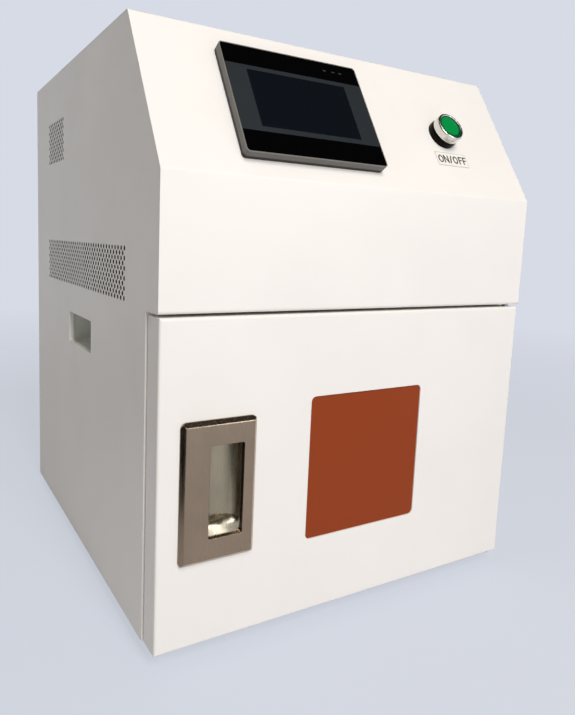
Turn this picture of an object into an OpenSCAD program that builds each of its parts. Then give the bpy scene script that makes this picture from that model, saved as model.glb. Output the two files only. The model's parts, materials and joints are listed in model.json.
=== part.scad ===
// Bench-top light curing unit for dental work: a sheet-steel cabinet with a
// touch panel and a power button on its sloping front, a side-hinged door with
// an amber window and a flush pull, and a curing chamber with a turntable under
// an array of near-ultraviolet emitters.
// Sizes are millimetres. X runs across, Y from front to back, Z up. Pieces are
// drawn from the middle of the cabinet's front face at its underside, and
// cabinet() moves them so that the origin lies under the middle of the unit.

/* [Cabinet] */
// Width over the side panels
cab_w = 380; // [370:1:420]
// Depth from the fascia to the rear cover
cab_d = 413; // [405:1:450]
// Thickness of the cabinet sheet
sheet = 1.2; // [1:0.1:1.8]
// Outside radius of the cabinet bends
bend_r = 2.5; // [2.2:0.1:4]
// Height of the upright fascia above the door
fascia_h = 101.5; // [90:0.5:115]
// Height that the sloping panel rises
slope_rise = 122.5; // [112:0.5:130]
// Depth that the sloping panel covers
slope_run = 73; // [65:0.5:80]
// Width of the inward flanges that the rear cover screws to
flange_w = 16; // [14:0.5:20]
// Height of the rubber feet
foot_h = 12; // [10:0.5:18]
// Radius of a foot at the top
foot_r = 15; // [12:0.5:18]

/* [Curing chamber] */
// Space between the chamber and each outer side of the cabinet
side_room = 40; // [36:1:48]
// Clear height of the chamber
ch_h = 200; // [190:1:215]
// Clear depth of the chamber
ch_d = 320; // [300:1:330]
// Height of the chamber floor above the underside
ch_z = 45; // [42:0.5:52]
// Thickness of the stainless lining
liner = 1.2; // [1:0.1:1.5]
// Radius of the turntable plate
table_r = 115; // [90:1:135]
// Thickness of the turntable plate
table_t = 3; // [2:0.5:5]
// Radius of the spindle neck in its bearing
neck_r = 6; // [5:0.25:8]

/* [Lamp] */
// Emitters across the width
led_cols = 6; // [4:1:6]
// Emitters along the depth
led_rows = 5; // [3:1:5]
// Distance between emitters
led_pitch = 26; // [22:1:26]
// Clear width of the lamp opening in the ceiling
lamp_w = 160; // [150:1:170]
// Clear depth of the lamp opening in the ceiling
lamp_d = 136; // [124:1:146]
// Thickness of the cover glass
glass_t = 3; // [2:0.5:4]
// Height of the heat sink fins
fin_h = 28; // [20:1:32]
// Thickness of a fin
fin_t = 2; // [1.5:0.25:3]
// Distance between fins
fin_pitch = 8.5; // [7:0.25:12]

/* [Door] */
// Overall thickness of the door
door_t = 22; // [20:0.5:26]
// Thickness of the door sheet
door_sheet = 1.2; // [1:0.1:1.5]
// Outside radius of the door's folded edges
door_edge_r = 2; // [1.6:0.1:3]
// Gap above the door and behind it
door_gap = 2.5; // [2.2:0.1:3.5]
// Distance that each door edge stands in from the cabinet side
door_inset = 1.2; // [1:0.1:2]
// Distance that the door stands above the underside
door_lift = 1; // [0.8:0.1:1.5]
// Visible width of the window
win_w = 120.8; // [100:0.1:130]
// Visible height of the window
win_h = 123; // [100:0.5:140]
// Middle of the window to the right of the cabinet's middle
win_x = 4.7; // [0:0.1:10]
// Middle of the window above the underside
win_z = 126.8; // [120:0.1:150]
// Corner radius of the window
win_r = 4.5; // [3:0.1:8]
// Thickness of the amber window pane
pane_t = 3; // [2:0.5:4]
// Radius of the hinge pins
pin_r = 3; // [2.5:0.1:3.2]
// Hinge axis in from the door's right edge
hinge_in = 7; // [6.8:0.1:8]
// Hinge axis behind the door's front face
hinge_back = 9; // [8.8:0.1:10.5]

/* [Flush pull] */
// Width of the pull's plate
pull_w = 64.2; // [58:0.1:70]
// Height of the pull's plate
pull_h = 111.7; // [104:0.1:120]
// Distance that the plate stands out of the door
pull_t = 4.3; // [3.5:0.1:6]
// Width of the plate's sloping rim
pull_rim = 3.4; // [2:0.1:4.4]
// Corner radius of the plate
pull_r = 5; // [4:0.1:8]
// Middle of the plate in from the cabinet's left side
pull_in = 50.5; // [48:0.1:54]
// Middle of the plate above the underside
pull_z = 124; // [115:0.1:135]
// Width of the finger opening
grip_open_w = 29.3; // [26:0.1:34]
// Height of the finger opening
grip_open_h = 73; // [66:0.1:80]
// Middle of the opening to the right of the plate's middle
grip_open_x = 5.6; // [2:0.1:7]
// Radius of the hollow behind the opening
cup_r = 19; // [17:0.1:22]
// Depth of the hollow behind the door's face
cup_deep = 11.7; // [9:0.1:13]
// Middle of the hollow to the left of the opening's middle
cup_shift = 3.1; // [0:0.1:4]

/* [Touch panel] */
// Width of the panel
hmi_w = 134.2; // [126:0.2:142]
// Height of the panel up the slope
hmi_h = 104.2; // [98:0.2:108]
// Thickness of the panel in front of its gasket
hmi_t = 7.7; // [6:0.1:9]
// Corner radius of the panel
hmi_r = 3; // [2:0.5:6]
// Middle of the panel to the left of the cabinet's middle
hmi_x = 56.3; // [50:0.1:60]
// Middle of the panel up the slope
hmi_u = 67.4; // [60:0.1:72]
// Width of the display module
lcd_w = 105.5; // [98:0.5:108]
// Height of the display module
lcd_h = 67.5; // [60:0.5:70]
// Depth of the case behind the cabinet sheet
hmi_deep = 31; // [25:1:40]

/* [Power button] */
// Middle of the button to the right of the cabinet's middle
btn_x = 102.9; // [92:0.1:115]
// Middle of the button up the slope
btn_u = 66.6; // [55:0.1:75]
// Radius of the metal ring
ring_r = 14.5; // [14:0.1:16]
// Height of the metal ring
ring_h = 7.2; // [6:0.1:9]
// Height of the black collar under the ring
collar_h = 6.8; // [5:0.1:8]
// Radius of the green lens
lens_r = 11.9; // [11:0.1:12.2]
// Distance that the lens travels
btn_travel = 3; // [2:0.1:3.5]

/* [Vents] */
// Distance between perforations in a row
perf_pitch = 8; // [7.5:0.1:8.2]
// Distance between rows of perforations
perf_row = 4; // [3.8:0.05:4.2]
// Diameter of a perforation
perf_d = 4; // [2.5:0.1:4.2]
// Perforations in a long row of the lower grille
vent_cols = 35; // [20:1:36]
// Perforations in a long row of the upper grille
small_vent_cols = 9; // [5:1:10]
// Rows in each grille
vent_rows = 11; // [7:2:11]

/* [Carry grips] */
// Length of the grip opening
grip_w = 83; // [75:1:95]
// Height of the grip opening
grip_h = 31; // [28:1:36]
// Middle of the grip behind the fascia
grip_y = 212; // [190:1:230]
// Middle of the grip above the underside
grip_z = 217; // [210:1:222]
// Depth that the opening's edge is turned inwards
grip_lip = 5; // [4:0.5:7]
// Air gap between a grip pocket and the chamber
grip_air = 6; // [3:0.5:10]

/* [Rear] */
// Size of the rear fan
rear_fan_size = 80; // [70:5:80]
// Size of the lamp fan
lamp_fan_size = 92; // [80:4:92]
// Depth of both fans
fan_t = 25; // [20:1:25]

/* [Hidden] */
$fn = 48;

// Clearances
seat_fit = 0.1;      // round a piece that drops into a place
run_fit = 0.05;      // radial, round a piece that turns
thread_fit = 0.05;   // radial, round a screw in its thread
through_fit = 0.25;  // radial, round a screw in a plain hole
face_fit = 0.3;      // between two faces that pass each other
cutout_fit = 0.4;    // round the touch panel's case

// Cabinet: heights and depths that follow from the sizes above
mouth_land = 13;                                 // chamber top to the door split
split_z = ch_z + ch_h + mouth_land;              // middle of the gap above the door
door_top = split_z - door_gap / 2;
fascia_z = split_z + door_gap / 2;               // lower edge of the fascia
slope_z = split_z + fascia_h;                    // lower edge of the slope
cab_h = slope_z + slope_rise;
ch_w = cab_w - 2 * side_room;                    // clear width of the chamber
slope_angle = atan2(slope_rise, slope_run);
frame_y = door_t + door_gap;                     // front of the frame behind the door
ch_y = frame_y + sheet;                          // front of the chamber
ch_mid = ch_y + ch_d / 2;
side_x = cab_w / 2 - sheet;                      // inner face of a side panel
rear_y = cab_d - sheet;                          // inner face of the rear cover
back_proud = 3;                                  // inlet flange behind the rear cover
front_y = -(cab_d + back_proud - pull_t) / 2;    // fascia in the part's frame
shadow_lip = 3.5;                                // frame above the fascia's return
frame_return = 12;                               // depth of the frame's side returns
pan_lip = 15;                                    // upturned edges of the base pan
// Outer line of the fascia, slope and top, as [depth, height]
cover_line = [[frame_y, fascia_z], [0, fascia_z], [0, slope_z], [slope_run, cab_h], [rear_y, cab_h]];
// Line of a side panel under the cover, as [depth, height]
side_line = [
    [rear_y, 0], [frame_y, 0], [frame_y, fascia_z + sheet], [sheet, fascia_z + sheet],
    [sheet, slope_z - sheet * tan((90 - slope_angle) / 2)],
    [slope_run + sheet * tan(slope_angle / 2), cab_h - sheet], [rear_y, cab_h - sheet]];

// Fasteners and feet
m4_r = 1.95;
m4_head_r = 3.8;
m4_head_h = 2.4;
m5_r = 2.5;
m5_head_r = 4.75;
m5_head_h = 3.3;
nut_h = 4;
nut_r = 4.6;
rear_screw_in = [20, 42];                        // lowest and highest, in from the ends
rear_screw_z = [for (i = [0:3]) rear_screw_in[0] + i * (cab_h - rear_screw_in[0] - rear_screw_in[1]) / 3];
rear_screw_x = 60;                               // each side of the middle
flange_mid = cab_w / 2 - flange_w / 2;
foot_x = cab_w / 2 - 40;
foot_front = 45;
foot_back = 43;
foot_taper = 2;
foot_bore = 7;                                   // depth of the screw head's hole

// Vents and grips
vent_mid_y = cab_d / 2 + 4;                      // middle of the lower grille
vent_z = split_z + 25.4;
small_vent_y = cab_d - 101.4;                    // middle of the upper grille
small_vent_z = slope_z + 52;
grip_wall = 2;
grip_flange = 4;                                 // flange round the pocket's mouth
grip_deep = side_room - grip_air - grip_wall;    // depth of a pocket from the cabinet side

// Curing chamber
liner_flange = 10;
ceiling_z = ch_z + ch_h;
ceiling_lip = 8;
support_w = 24;
support_x = ch_w / 2 - 32;
support_end = 34;                                // floor beyond each support

// Turntable
bearing_r = 9;                                   // bearing body in the chamber floor
bearing_flange_r = 13;
bearing_rise = 1.5;                              // bearing flange above the floor
spindle_r = 3.5;
spindle_deep = 16;                               // spindle in the motor
hub_r = 20;
hub_z = ch_z + bearing_rise + face_fit;          // underside of the spindle's flange
hub_t = 3.2;
boss_r = 4;
table_rim = 2.5;
motor_r = 25;
motor_h = 22;
motor_z = ch_z - liner;                          // top of the motor
motor_ear = 6;                                   // ear screws beyond the motor's side

// Lamp, from the ceiling up
glass_rest = 11;                                 // glass beyond the opening
glass_z = ceiling_z + liner;
glass_w = lamp_w + 2 * glass_rest;
glass_d = lamp_d + 2 * glass_rest;
clamp_w = 8;
lamp_rise = 11.4;                                // heat sink above the ceiling
board_t = 1.6;
led_size = 5;
sink_z = glass_z + lamp_rise;
board_z = sink_z - board_t;
sink_base = 6;
spacer_in = 7;                                   // spacers in from the heat sink's edge
spacer_r = 4;
spacer_bore_r = 1.7;
sink_w = glass_w + 2 * clamp_w + 26;
sink_d = glass_d + 2 * clamp_w + 26;
lamp_fan_z = sink_z + sink_base + fin_h;

// Fans
fan_wall = 1.5;
fan_base = 4;                                    // motor plate and struts
fan_corner = 4.4;                                // screw holes in from the corner
fan_blades = 7;
hub_share = 0.21;                                // hub radius over the fan's size
post_r = 2;
hub_gap = 0.6;
rear_fan_x = cab_w / 4;
rear_fan_z = slope_z + 45.5;

// Shelf
shelf_gap = 13;                                  // air gap between the lamp fan and the shelf
shelf_z = lamp_fan_z + fan_t + shelf_gap;
shelf_lip = 14;
deck_z = shelf_z + sheet;
unit_in = 24;                                    // outer units in from the cabinet's sides
unit_back = 44;                                  // power supply in front of the rear cover
psu_size = [115, 215, 50];
psu_recess = [103, 15, 14];                      // terminals in its front face
driver_size = [68, 150, 38];
driver_fin = [3, 5];                             // grooves along its top, width and depth
unit_y = rear_y - unit_back - psu_size.y;        // fronts of the three units
pcb_size = [84, 130, 1.6];
pcb_rise = 6;                                    // board above the shelf
pcb_in = 5;                                      // pillars in from the board's edge
relay_size = [28, 40, 16];
terminal_size = [16, 12, 14];
terminal_pitch = 16;
capacitor = [6, 18];                             // radius and height

// Door
door_w = cab_w - 2 * door_inset;
door_h = door_top - door_lift;
door_mid_z = (door_top + door_lift) / 2;
inner_y = door_t - door_sheet;                   // front of the door's inner panel
pane_lap = 5;
seal_in = 3;                                     // seal outside the chamber's mouth
seal_w = 6;

// Hinges
hinge_x = cab_w / 2 - door_inset - hinge_in;
plate_t = 2.5;
pin_deep = 10;                                   // hinge pins in the door
bush_neck_r = 4.5;
bush_r = hinge_in - door_sheet - seat_fit;
bush_h = 12;
end_back = 4.8;                                  // lower bracket behind the door's face
bracket_w = 20;
bracket_d = 70;

// Flush pull
pull_x = cab_w / 2 - pull_in;                    // to the left of the middle
open_x = -pull_x + grip_open_x;                  // middle of the finger opening
cup_x = open_x - cup_shift;
cup_wall = 1.2;
cup_cut_w = 2 * (cup_r + cup_wall) + 0.6;
cup_cut_h = grip_open_h + 2 * cup_wall + 0.6;
screw_in = 8;                                    // pull's screws in from the plate's edge
screw_deep = 3;                                  // screw thread in the plate
pull_screws = [for (s = [-1, 1]) [-pull_x - pull_w / 2 + screw_in, pull_z + s * (pull_h / 2 - screw_in)]];

// Catches and door sensor
catch_r = 6;
catch_flange = 3;                                // flange beyond the catch's body
catch_deep = 12;
catch_air = 4;                                   // between a catch's flange and the seal
catch_x = ch_w / 2 + seal_in + seal_w + catch_air + catch_flange + catch_r;
catch_up = 30;                                   // in from the chamber's top and bottom
catch_z = [ch_z + catch_up, ch_z + ch_h - catch_up];
catch_proud = 0.7;
strike_t = door_gap - catch_proud - face_fit;
strike_size = [16, 26];
strike_hole = [9.5, 1.4];                        // distance from the middle, and radius
sensor_z = ch_z + ch_h / 2;
sensor_size = [12, 6, 28];

// Touch panel
case_w = hmi_w - 14;
case_h = hmi_h - 10;
gasket_t = 1;
overlay_t = 0.7;
overlay_in = 0.8;                                // rim of the bezel round the overlay
overlay_drop = 0.1;
overlay_w = hmi_w - 2 * overlay_in;
overlay_h = hmi_h - 2 * overlay_in;
overlay_n = gasket_t + hmi_t - overlay_t - overlay_drop;
hmi_clamp_t = 7;

// Power button
barrel_r = 11;                                   // threaded barrel
barrel_deep = 18;                                // barrel below the cabinet's face
stem_r = 8;
lens_t = 3;
lens_drop = 0.8;                                 // lens below the ring's rim
ring_top = collar_h + ring_h;
btn_nut_t = 4;
block_w = 24;
block_h = 30;
block_deep = 36;

// Mains inlet, to the left of the middle
inlet_x = cab_w / 2 - 60;
inlet_z = 92;
inlet_w = 27.4;
inlet_h = 20;
inlet_flange_w = 50;
inlet_flange_h = 26;
inlet_deep = 24;
inlet_screw_x = 20;
socket_w = 24.4;
socket_h = 16.6;
socket_deep = 19;

// Unit vector, and a corner of a polyline turned into an arc of radius r
function unit(v) = v / norm(v);
function corner(a, b, c, r, n) =
    let (u = unit(a - b), v = unit(c - b), half = acos(u * v) / 2)
    let (centre = b + unit(u + v) * r / sin(half))
    let (p = b + u * r / tan(half) - centre, q = b + v * r / tan(half) - centre)
    let (start = atan2(p.y, p.x), turn = atan2(p.x * q.y - p.y * q.x, p * q))
    [for (i = [0:n]) centre + r * [cos(start + turn * i / n), sin(start + turn * i / n)]];
function cross2(u, v) = u.x * v.y - u.y * v.x;
// Closed outline, drawn clockwise, with its outer corners rounded
function eased(pts, r, n = 4) =
    let (last = len(pts) - 1)
    [for (i = [0:last])
        let (a = pts[i == 0 ? last : i - 1], b = pts[i], c = pts[i == last ? 0 : i + 1])
        each (cross2(b - a, c - b) > 0 ? [b] : corner(a, b, c, r, n))];
// Point where a polyline's corner lies once both its edges move right by t
function mitre(a, b, c, t) =
    let (u = unit(b - a), v = unit(c - b))
    b + t * ([u.y, -u.x] + [v.y, -v.x]) / (1 + u * v);
// Outline of a sheet t thick whose outer face follows a polyline, with the metal
// on its right, and every bend rounded with the outside radius r
function bent(pts, t, r, n = 6) =
    let (last = len(pts) - 1)
    let (first_u = unit(pts[1] - pts[0]), last_u = unit(pts[last] - pts[last - 1]))
    let (inner = [for (i = [0:last])
        i == 0 ? pts[0] + t * [first_u.y, -first_u.x]
        : i == last ? pts[last] + t * [last_u.y, -last_u.x]
        : mitre(pts[i - 1], pts[i], pts[i + 1], t)])
    let (right = [for (i = [1:last - 1])
        cross2(pts[i] - pts[i - 1], pts[i + 1] - pts[i]) < 0])
    concat(
        [pts[0]],
        [for (i = [1:last - 1])
            each corner(pts[i - 1], pts[i], pts[i + 1], right[i - 1] ? r : r - t, n)],
        [pts[last], inner[last]],
        [for (i = [last - 1:-1:1])
            each corner(inner[i + 1], inner[i], inner[i - 1], right[i - 1] ? r - t : r, n)],
        [inner[0]]);

// Moves a piece from the cabinet's own corner into the part's frame
module cabinet() { translate([0, front_y, foot_h]) children(); }
// Extrudes [depth, height] outlines across the width, from x on
module along_x(x, w) { translate([x, 0, 0]) rotate([90, 0, 90]) linear_extrude(w) children(); }
// Extrudes [width, height] outlines backwards, from y on
module along_y(y, t) { translate([0, y + t, 0]) rotate([90, 0, 0]) linear_extrude(t) children(); }
// Extrudes [width, depth] outlines upwards, from z on
module along_z(z, t) { translate([0, 0, z]) linear_extrude(t) children(); }
// Lays a piece on the slope: x across, y up the slope, z out of it
module on_slope(x, u) {
    cabinet() translate([0, 0, slope_z]) rotate([slope_angle, 0, 0]) translate([x, u, 0]) children();
}
module rect(w, h) { square([w, h], center = true); }
module rounded(w, h, r) {
    rect(w - 2 * r, h);
    rect(w, h - 2 * r);
    for (x = [-1, 1], y = [-1, 1]) translate([x * (w / 2 - r), y * (h / 2 - r)]) circle(r);
}
module ring(outer, inner) {
    difference() {
        circle(outer);
        circle(inner);
    }
}
module both_sides() {
    children();
    mirror([1, 0, 0]) children();
}
// Pan-head screw pointing along +Z with its head below z = 0
module pan_screw(r, length, head_r, head_h) {
    difference() {
        union() {
            translate([0, 0, -head_h / 2]) cylinder(h = length + head_h / 2, r = r);
            translate([0, 0, -head_h / 2]) cylinder(h = head_h / 2, r = head_r);
            translate([0, 0, -head_h]) cylinder(h = head_h / 2, r1 = head_r * 0.7, r2 = head_r);
        }
        for (a = [0, 90])
            rotate([0, 0, a]) translate([0, 0, -head_h]) cube([head_r, 0.9, head_h], center = true);
    }
}
// Positions of the rear cover's screws, as [x, z]
function rear_screws() = concat(
    [for (s = [-1, 1], z = rear_screw_z) [s * flange_mid, z]],
    [for (s = [-1, 1]) [s * rear_screw_x, cab_h - flange_w / 2]],
    [for (s = [-1, 1]) [s * rear_screw_x, flange_w / 2]]);
module at_feet() {
    for (s = [-1, 1], y = [foot_front, cab_d - foot_back]) translate([s * foot_x, y]) children();
}

// Cabinet sheets

module top_front_cover() {
    color("#f7f3ee") cabinet() difference() {
        union() {
            along_x(-cab_w / 2, cab_w) polygon(bent(cover_line, sheet, bend_r));
            along_y(rear_y - sheet, sheet) translate([0, cab_h - sheet - flange_w / 2 + seat_fit / 2])
                rect(cab_w - 2 * flange_w - 2 * seat_fit, flange_w - seat_fit);
        }
        translate([0, 0, slope_z]) rotate([slope_angle, 0, 0]) {
            translate([-hmi_x, hmi_u, -2 * sheet]) linear_extrude(3 * sheet)
                rect(case_w + 2 * cutout_fit, case_h + 2 * cutout_fit);
            translate([btn_x, btn_u, -2 * sheet]) cylinder(h = 3 * sheet, r = barrel_r + through_fit);
        }
        translate([hinge_x, hinge_back, fascia_z - 1]) cylinder(h = sheet + 2, r = pin_r + run_fit);
        for (p = rear_screws()) along_y(rear_y - 2 * sheet, 3 * sheet) translate(p) circle(m4_r + thread_fit);
    }
}

// Rows of holes, every other row with one hole fewer and half a pitch back
module perforations(y, z, cols) {
    for (row = [0:vent_rows - 1])
        for (i = [0:cols - 1 - row % 2])
            translate([y + (i - (cols - 1 - row % 2) / 2) * perf_pitch,
                z + (row - (vent_rows - 1) / 2) * perf_row]) circle(d = perf_d, $fn = 24);
}
module grip_outline(extra) {
    translate([grip_y, grip_z]) rounded(grip_w + 2 * extra, grip_h + 2 * extra, 2 + extra);
}
module right_side() {
    difference() {
        union() {
            along_x(side_x, sheet) difference() {
                polygon(eased(side_line, bend_r));
                grip_outline(0);
                perforations(vent_mid_y, vent_z, vent_cols);
                perforations(small_vent_y, small_vent_z, small_vent_cols);
            }
            along_x(cab_w / 2 - grip_lip, grip_lip) difference() {
                grip_outline(sheet);
                grip_outline(0);
            }
            along_y(rear_y - sheet, sheet) translate([cab_w / 2 - flange_w, sheet])
                square([flange_w, cab_h - 2 * sheet]);
            along_z(sheet, sheet) translate([cab_w / 2 - flange_w, ch_y + frame_return + 0.5])
                square([flange_w, rear_y - sheet - ch_y - frame_return]);
            along_z(cab_h - 2 * sheet, sheet) translate([cab_w / 2 - flange_w, slope_run + 8])
                square([flange_w, rear_y - slope_run - 8 - sheet]);
        }
        for (p = rear_screws()) along_y(rear_y - 2 * sheet, 3 * sheet) translate(p) circle(m4_r + thread_fit);
    }
}
module left_side_panel() { color("#f2efe9") cabinet() mirror([1, 0, 0]) right_side(); }
module right_side_panel() { color("#f2efe9") cabinet() right_side(); }

module front_frame() {
    color("#e9e6e0") cabinet() difference() {
        union() {
            along_y(frame_y, sheet) translate([0, (fascia_z + sheet + shadow_lip) / 2])
                rect(2 * side_x, fascia_z + sheet + shadow_lip);
            both_sides() translate([side_x - sheet, ch_y, sheet])
                cube([sheet, frame_return, fascia_z + shadow_lip]);
        }
        along_y(frame_y - 1, sheet + 2) {
            translate([0, ch_z + ch_h / 2]) rect(ch_w, ch_h);
            for (z = catch_z) translate([-catch_x, z]) circle(catch_r + seat_fit);
        }
    }
}

module base_pan() {
    color("#c9c7c2") cabinet() difference() {
        union() {
            along_z(0, sheet) translate([-side_x, ch_y]) square([2 * side_x, rear_y - ch_y]);
            along_y(ch_y, sheet) translate([0, pan_lip / 2])
                rect(2 * (side_x - sheet - seat_fit), pan_lip);
            along_y(rear_y - sheet, sheet) translate([0, pan_lip / 2])
                rect(cab_w - 2 * flange_w - 2 * seat_fit, pan_lip);
        }
        along_z(-1, sheet + 2) at_feet() circle(m5_r + through_fit);
        for (p = rear_screws()) along_y(rear_y - 2 * sheet, 3 * sheet) translate(p) circle(m4_r + thread_fit);
    }
}

// Curved slots of a punched finger guard: rings of radii r cut by four bars
module guard_slots(size) {
    difference() {
        for (r = [8:8:size / 2 - 5]) ring(r + 2.5, r - 2.5);
        for (a = [0:45:135]) rotate(a) rect(size, 3.5);
    }
}
module rear_cover() {
    color("#efece6") cabinet() along_y(rear_y, sheet) difference() {
        translate([0, cab_h / 2]) rounded(cab_w, cab_h, 2);
        translate([rear_fan_x, rear_fan_z]) {
            guard_slots(rear_fan_size);
            fan_holes(rear_fan_size) circle(m4_r + through_fit);
        }
        translate([-inlet_x, inlet_z]) {
            rect(inlet_w + 2 * seat_fit, inlet_h + 2 * seat_fit);
            for (s = [-1, 1]) translate([s * inlet_screw_x, 0]) circle(1.6);
        }
        for (p = rear_screws()) translate(p) circle(m4_r + through_fit);
    }
}
module rear_cover_screws() {
    color("silver") cabinet() {
        for (p = rear_screws()) translate([p.x, cab_d, p.y]) rotate([90, 0, 0])
            pan_screw(m4_r, 6, m4_head_r, m4_head_h);
        translate([rear_fan_x, cab_d, rear_fan_z]) rotate([90, 0, 0]) fan_holes(rear_fan_size)
            pan_screw(m4_r, 9, m4_head_r, m4_head_h);
    }
}

module equipment_shelf() {
    color("#c9c7c2") cabinet() difference() {
        union() {
            along_z(shelf_z, sheet) translate([-side_x + seat_fit, ch_y + 4])
                square([2 * (side_x - seat_fit), rear_y - ch_y - 8]);
            both_sides() translate([side_x - sheet - seat_fit, ch_y + 4, shelf_z - shelf_lip])
                cube([sheet, rear_y - ch_y - 8, shelf_lip + sheet / 2]);
        }
        along_z(shelf_z - 1, sheet + 2) translate([0, rear_y - 22]) rounded(44, 20, 4);
    }
}

// Pocket behind a side panel's grip opening
module right_grip() {
    room = sheet + seat_fit;       // the pocket's mouth goes round the turned-in edge
    along_x(side_x - grip_wall, grip_wall) difference() {
        grip_outline(room + grip_wall + grip_flange);
        grip_outline(room);
    }
    along_x(cab_w / 2 - grip_deep, grip_deep - sheet) difference() {
        grip_outline(room + grip_wall);
        grip_outline(room);
    }
    along_x(cab_w / 2 - grip_deep - grip_wall, grip_wall) grip_outline(room + grip_wall);
}
module left_carry_grip() { color("#c2c5be") cabinet() mirror([1, 0, 0]) right_grip(); }
module right_carry_grip() { color("#c2c5be") cabinet() right_grip(); }

module rubber_feet() {
    color("#26272a") cabinet() difference() {
        translate([0, 0, -foot_h]) at_feet() cylinder(h = foot_h, r1 = foot_r - foot_taper, r2 = foot_r);
        at_feet() translate([0, 0, -foot_h - 1]) {
            cylinder(h = foot_h + 2, r = m5_r + through_fit);
            cylinder(h = foot_bore + 1, r = m5_head_r + 1);
        }
    }
}
module foot_screws() {
    head_z = -foot_h + foot_bore;
    color("silver") cabinet() at_feet() {
        translate([0, 0, head_z]) pan_screw(m5_r, sheet + nut_h + 2 - head_z, m5_head_r, m5_head_h);
        translate([0, 0, sheet]) difference() {
            cylinder(h = nut_h, r = nut_r, $fn = 6);
            translate([0, 0, -1]) cylinder(h = nut_h + 2, r = m5_r + thread_fit);
        }
    }
}

// Curing chamber
module chamber_liner() {
    color("#c8cacc") cabinet() difference() {
        union() {
            along_y(ch_y, ch_d) translate([0, ch_z]) difference() {
                translate([-ch_w / 2 - liner, -liner]) square([ch_w + 2 * liner, ch_h + liner]);
                translate([-ch_w / 2, 0]) square([ch_w, ch_h + 1]);
            }
            along_y(ch_y, liner) translate([0, ch_z]) difference() {
                translate([-ch_w / 2 - liner_flange, -liner_flange])
                    square([ch_w + 2 * liner_flange, ch_h + liner_flange]);
                translate([-ch_w / 2, 0]) square([ch_w, ch_h + 1]);
            }
        }
        translate([0, ch_mid, ch_z - liner - 1]) cylinder(h = liner + 2, r = bearing_r);
    }
}
module chamber_back_wall() {
    color("#c8cacc") cabinet() along_y(ch_y + ch_d, liner) difference() {
        translate([0, ch_z + ch_h / 2]) rect(ch_w + 2 * liner_flange, ch_h + 2 * liner_flange);
        translate([ch_w / 2 - 20, ch_z + 16]) circle(6);
    }
}
module chamber_ceiling() {
    color("#d4d6d8") cabinet() {
        along_z(ceiling_z, liner) translate([0, ch_mid]) difference() {
            rect(ch_w + 2 * liner, ch_d);
            rounded(lamp_w, lamp_d, 4);
        }
        along_y(ch_y, liner) translate([0, ceiling_z + ceiling_lip / 2])
            rect(ch_w + 2 * liner, ceiling_lip);
    }
}
module chamber_supports() {
    color("#c9c7c2") cabinet() both_sides() translate([support_x, 0])
        along_y(ch_y + support_end, ch_d - 2 * support_end) difference() {
            translate([-support_w / 2, sheet]) square([support_w, motor_z - sheet]);
            translate([-support_w / 2 + sheet, 0]) square([support_w - 2 * sheet, motor_z - sheet]);
        }
}

// Turntable, from the motor up
module turntable_plate() {
    color("#dfe2e4") cabinet() translate([0, ch_mid, hub_z + hub_t]) difference() {
        rotate_extrude($fn = 96) polygon([
            [boss_r + thread_fit, 0], [table_r - 1, 0], [table_r, 1], [table_r, table_t + table_rim - 0.5],
            [table_r - 0.5, table_t + table_rim], [table_r - 1.5, table_t + table_rim],
            [table_r - 4, table_t], [boss_r + thread_fit, table_t]]);
        for (r = [30:25:table_r - 20])
            along_z(table_t - 0.4, 1) ring(r + 0.6, r - 0.6);
    }
}
module drive_spindle() {
    color("silver") cabinet() translate([0, ch_mid]) {
        translate([0, 0, motor_z - spindle_deep]) cylinder(h = spindle_deep, r = spindle_r);
        translate([0, 0, motor_z]) cylinder(h = hub_z - motor_z, r = neck_r);
        translate([0, 0, hub_z]) cylinder(h = hub_t, r = hub_r);
        translate([0, 0, hub_z + hub_t]) cylinder(h = table_t, r = boss_r);
    }
}
module turntable_bearing() {
    color("#e8e4d8") cabinet() translate([0, ch_mid]) difference() {
        union() {
            translate([0, 0, ch_z - liner]) cylinder(h = liner, r = bearing_r - thread_fit);
            translate([0, 0, ch_z]) cylinder(h = bearing_rise, r = bearing_flange_r);
        }
        translate([0, 0, ch_z - liner - 1]) cylinder(h = liner + bearing_rise + 2, r = neck_r + run_fit);
    }
}
module turntable_motor() {
    ear_x = motor_r + motor_ear;
    color("#b9bcc0") cabinet() translate([0, ch_mid, motor_z]) difference() {
        union() {
            translate([0, 0, -motor_h]) cylinder(h = motor_h, r = motor_r);
            translate([0, 0, -sheet]) linear_extrude(sheet) {
                rect(2 * ear_x, 14);
                for (s = [-1, 1]) translate([s * ear_x, 0]) circle(7);
            }
            translate([0, -motor_r - 5, 6 - motor_h]) cube([16, 14, 10], center = true);
        }
        for (s = [-1, 1]) translate([s * ear_x, 0, -2 * sheet]) cylinder(h = 3 * sheet, r = 2.1);
        translate([0, 0, -spindle_deep - 2]) cylinder(h = spindle_deep + 3, r = spindle_r + run_fit);
        translate([0, 0, -1]) cylinder(h = 2, r = bearing_r);
    }
}

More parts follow.
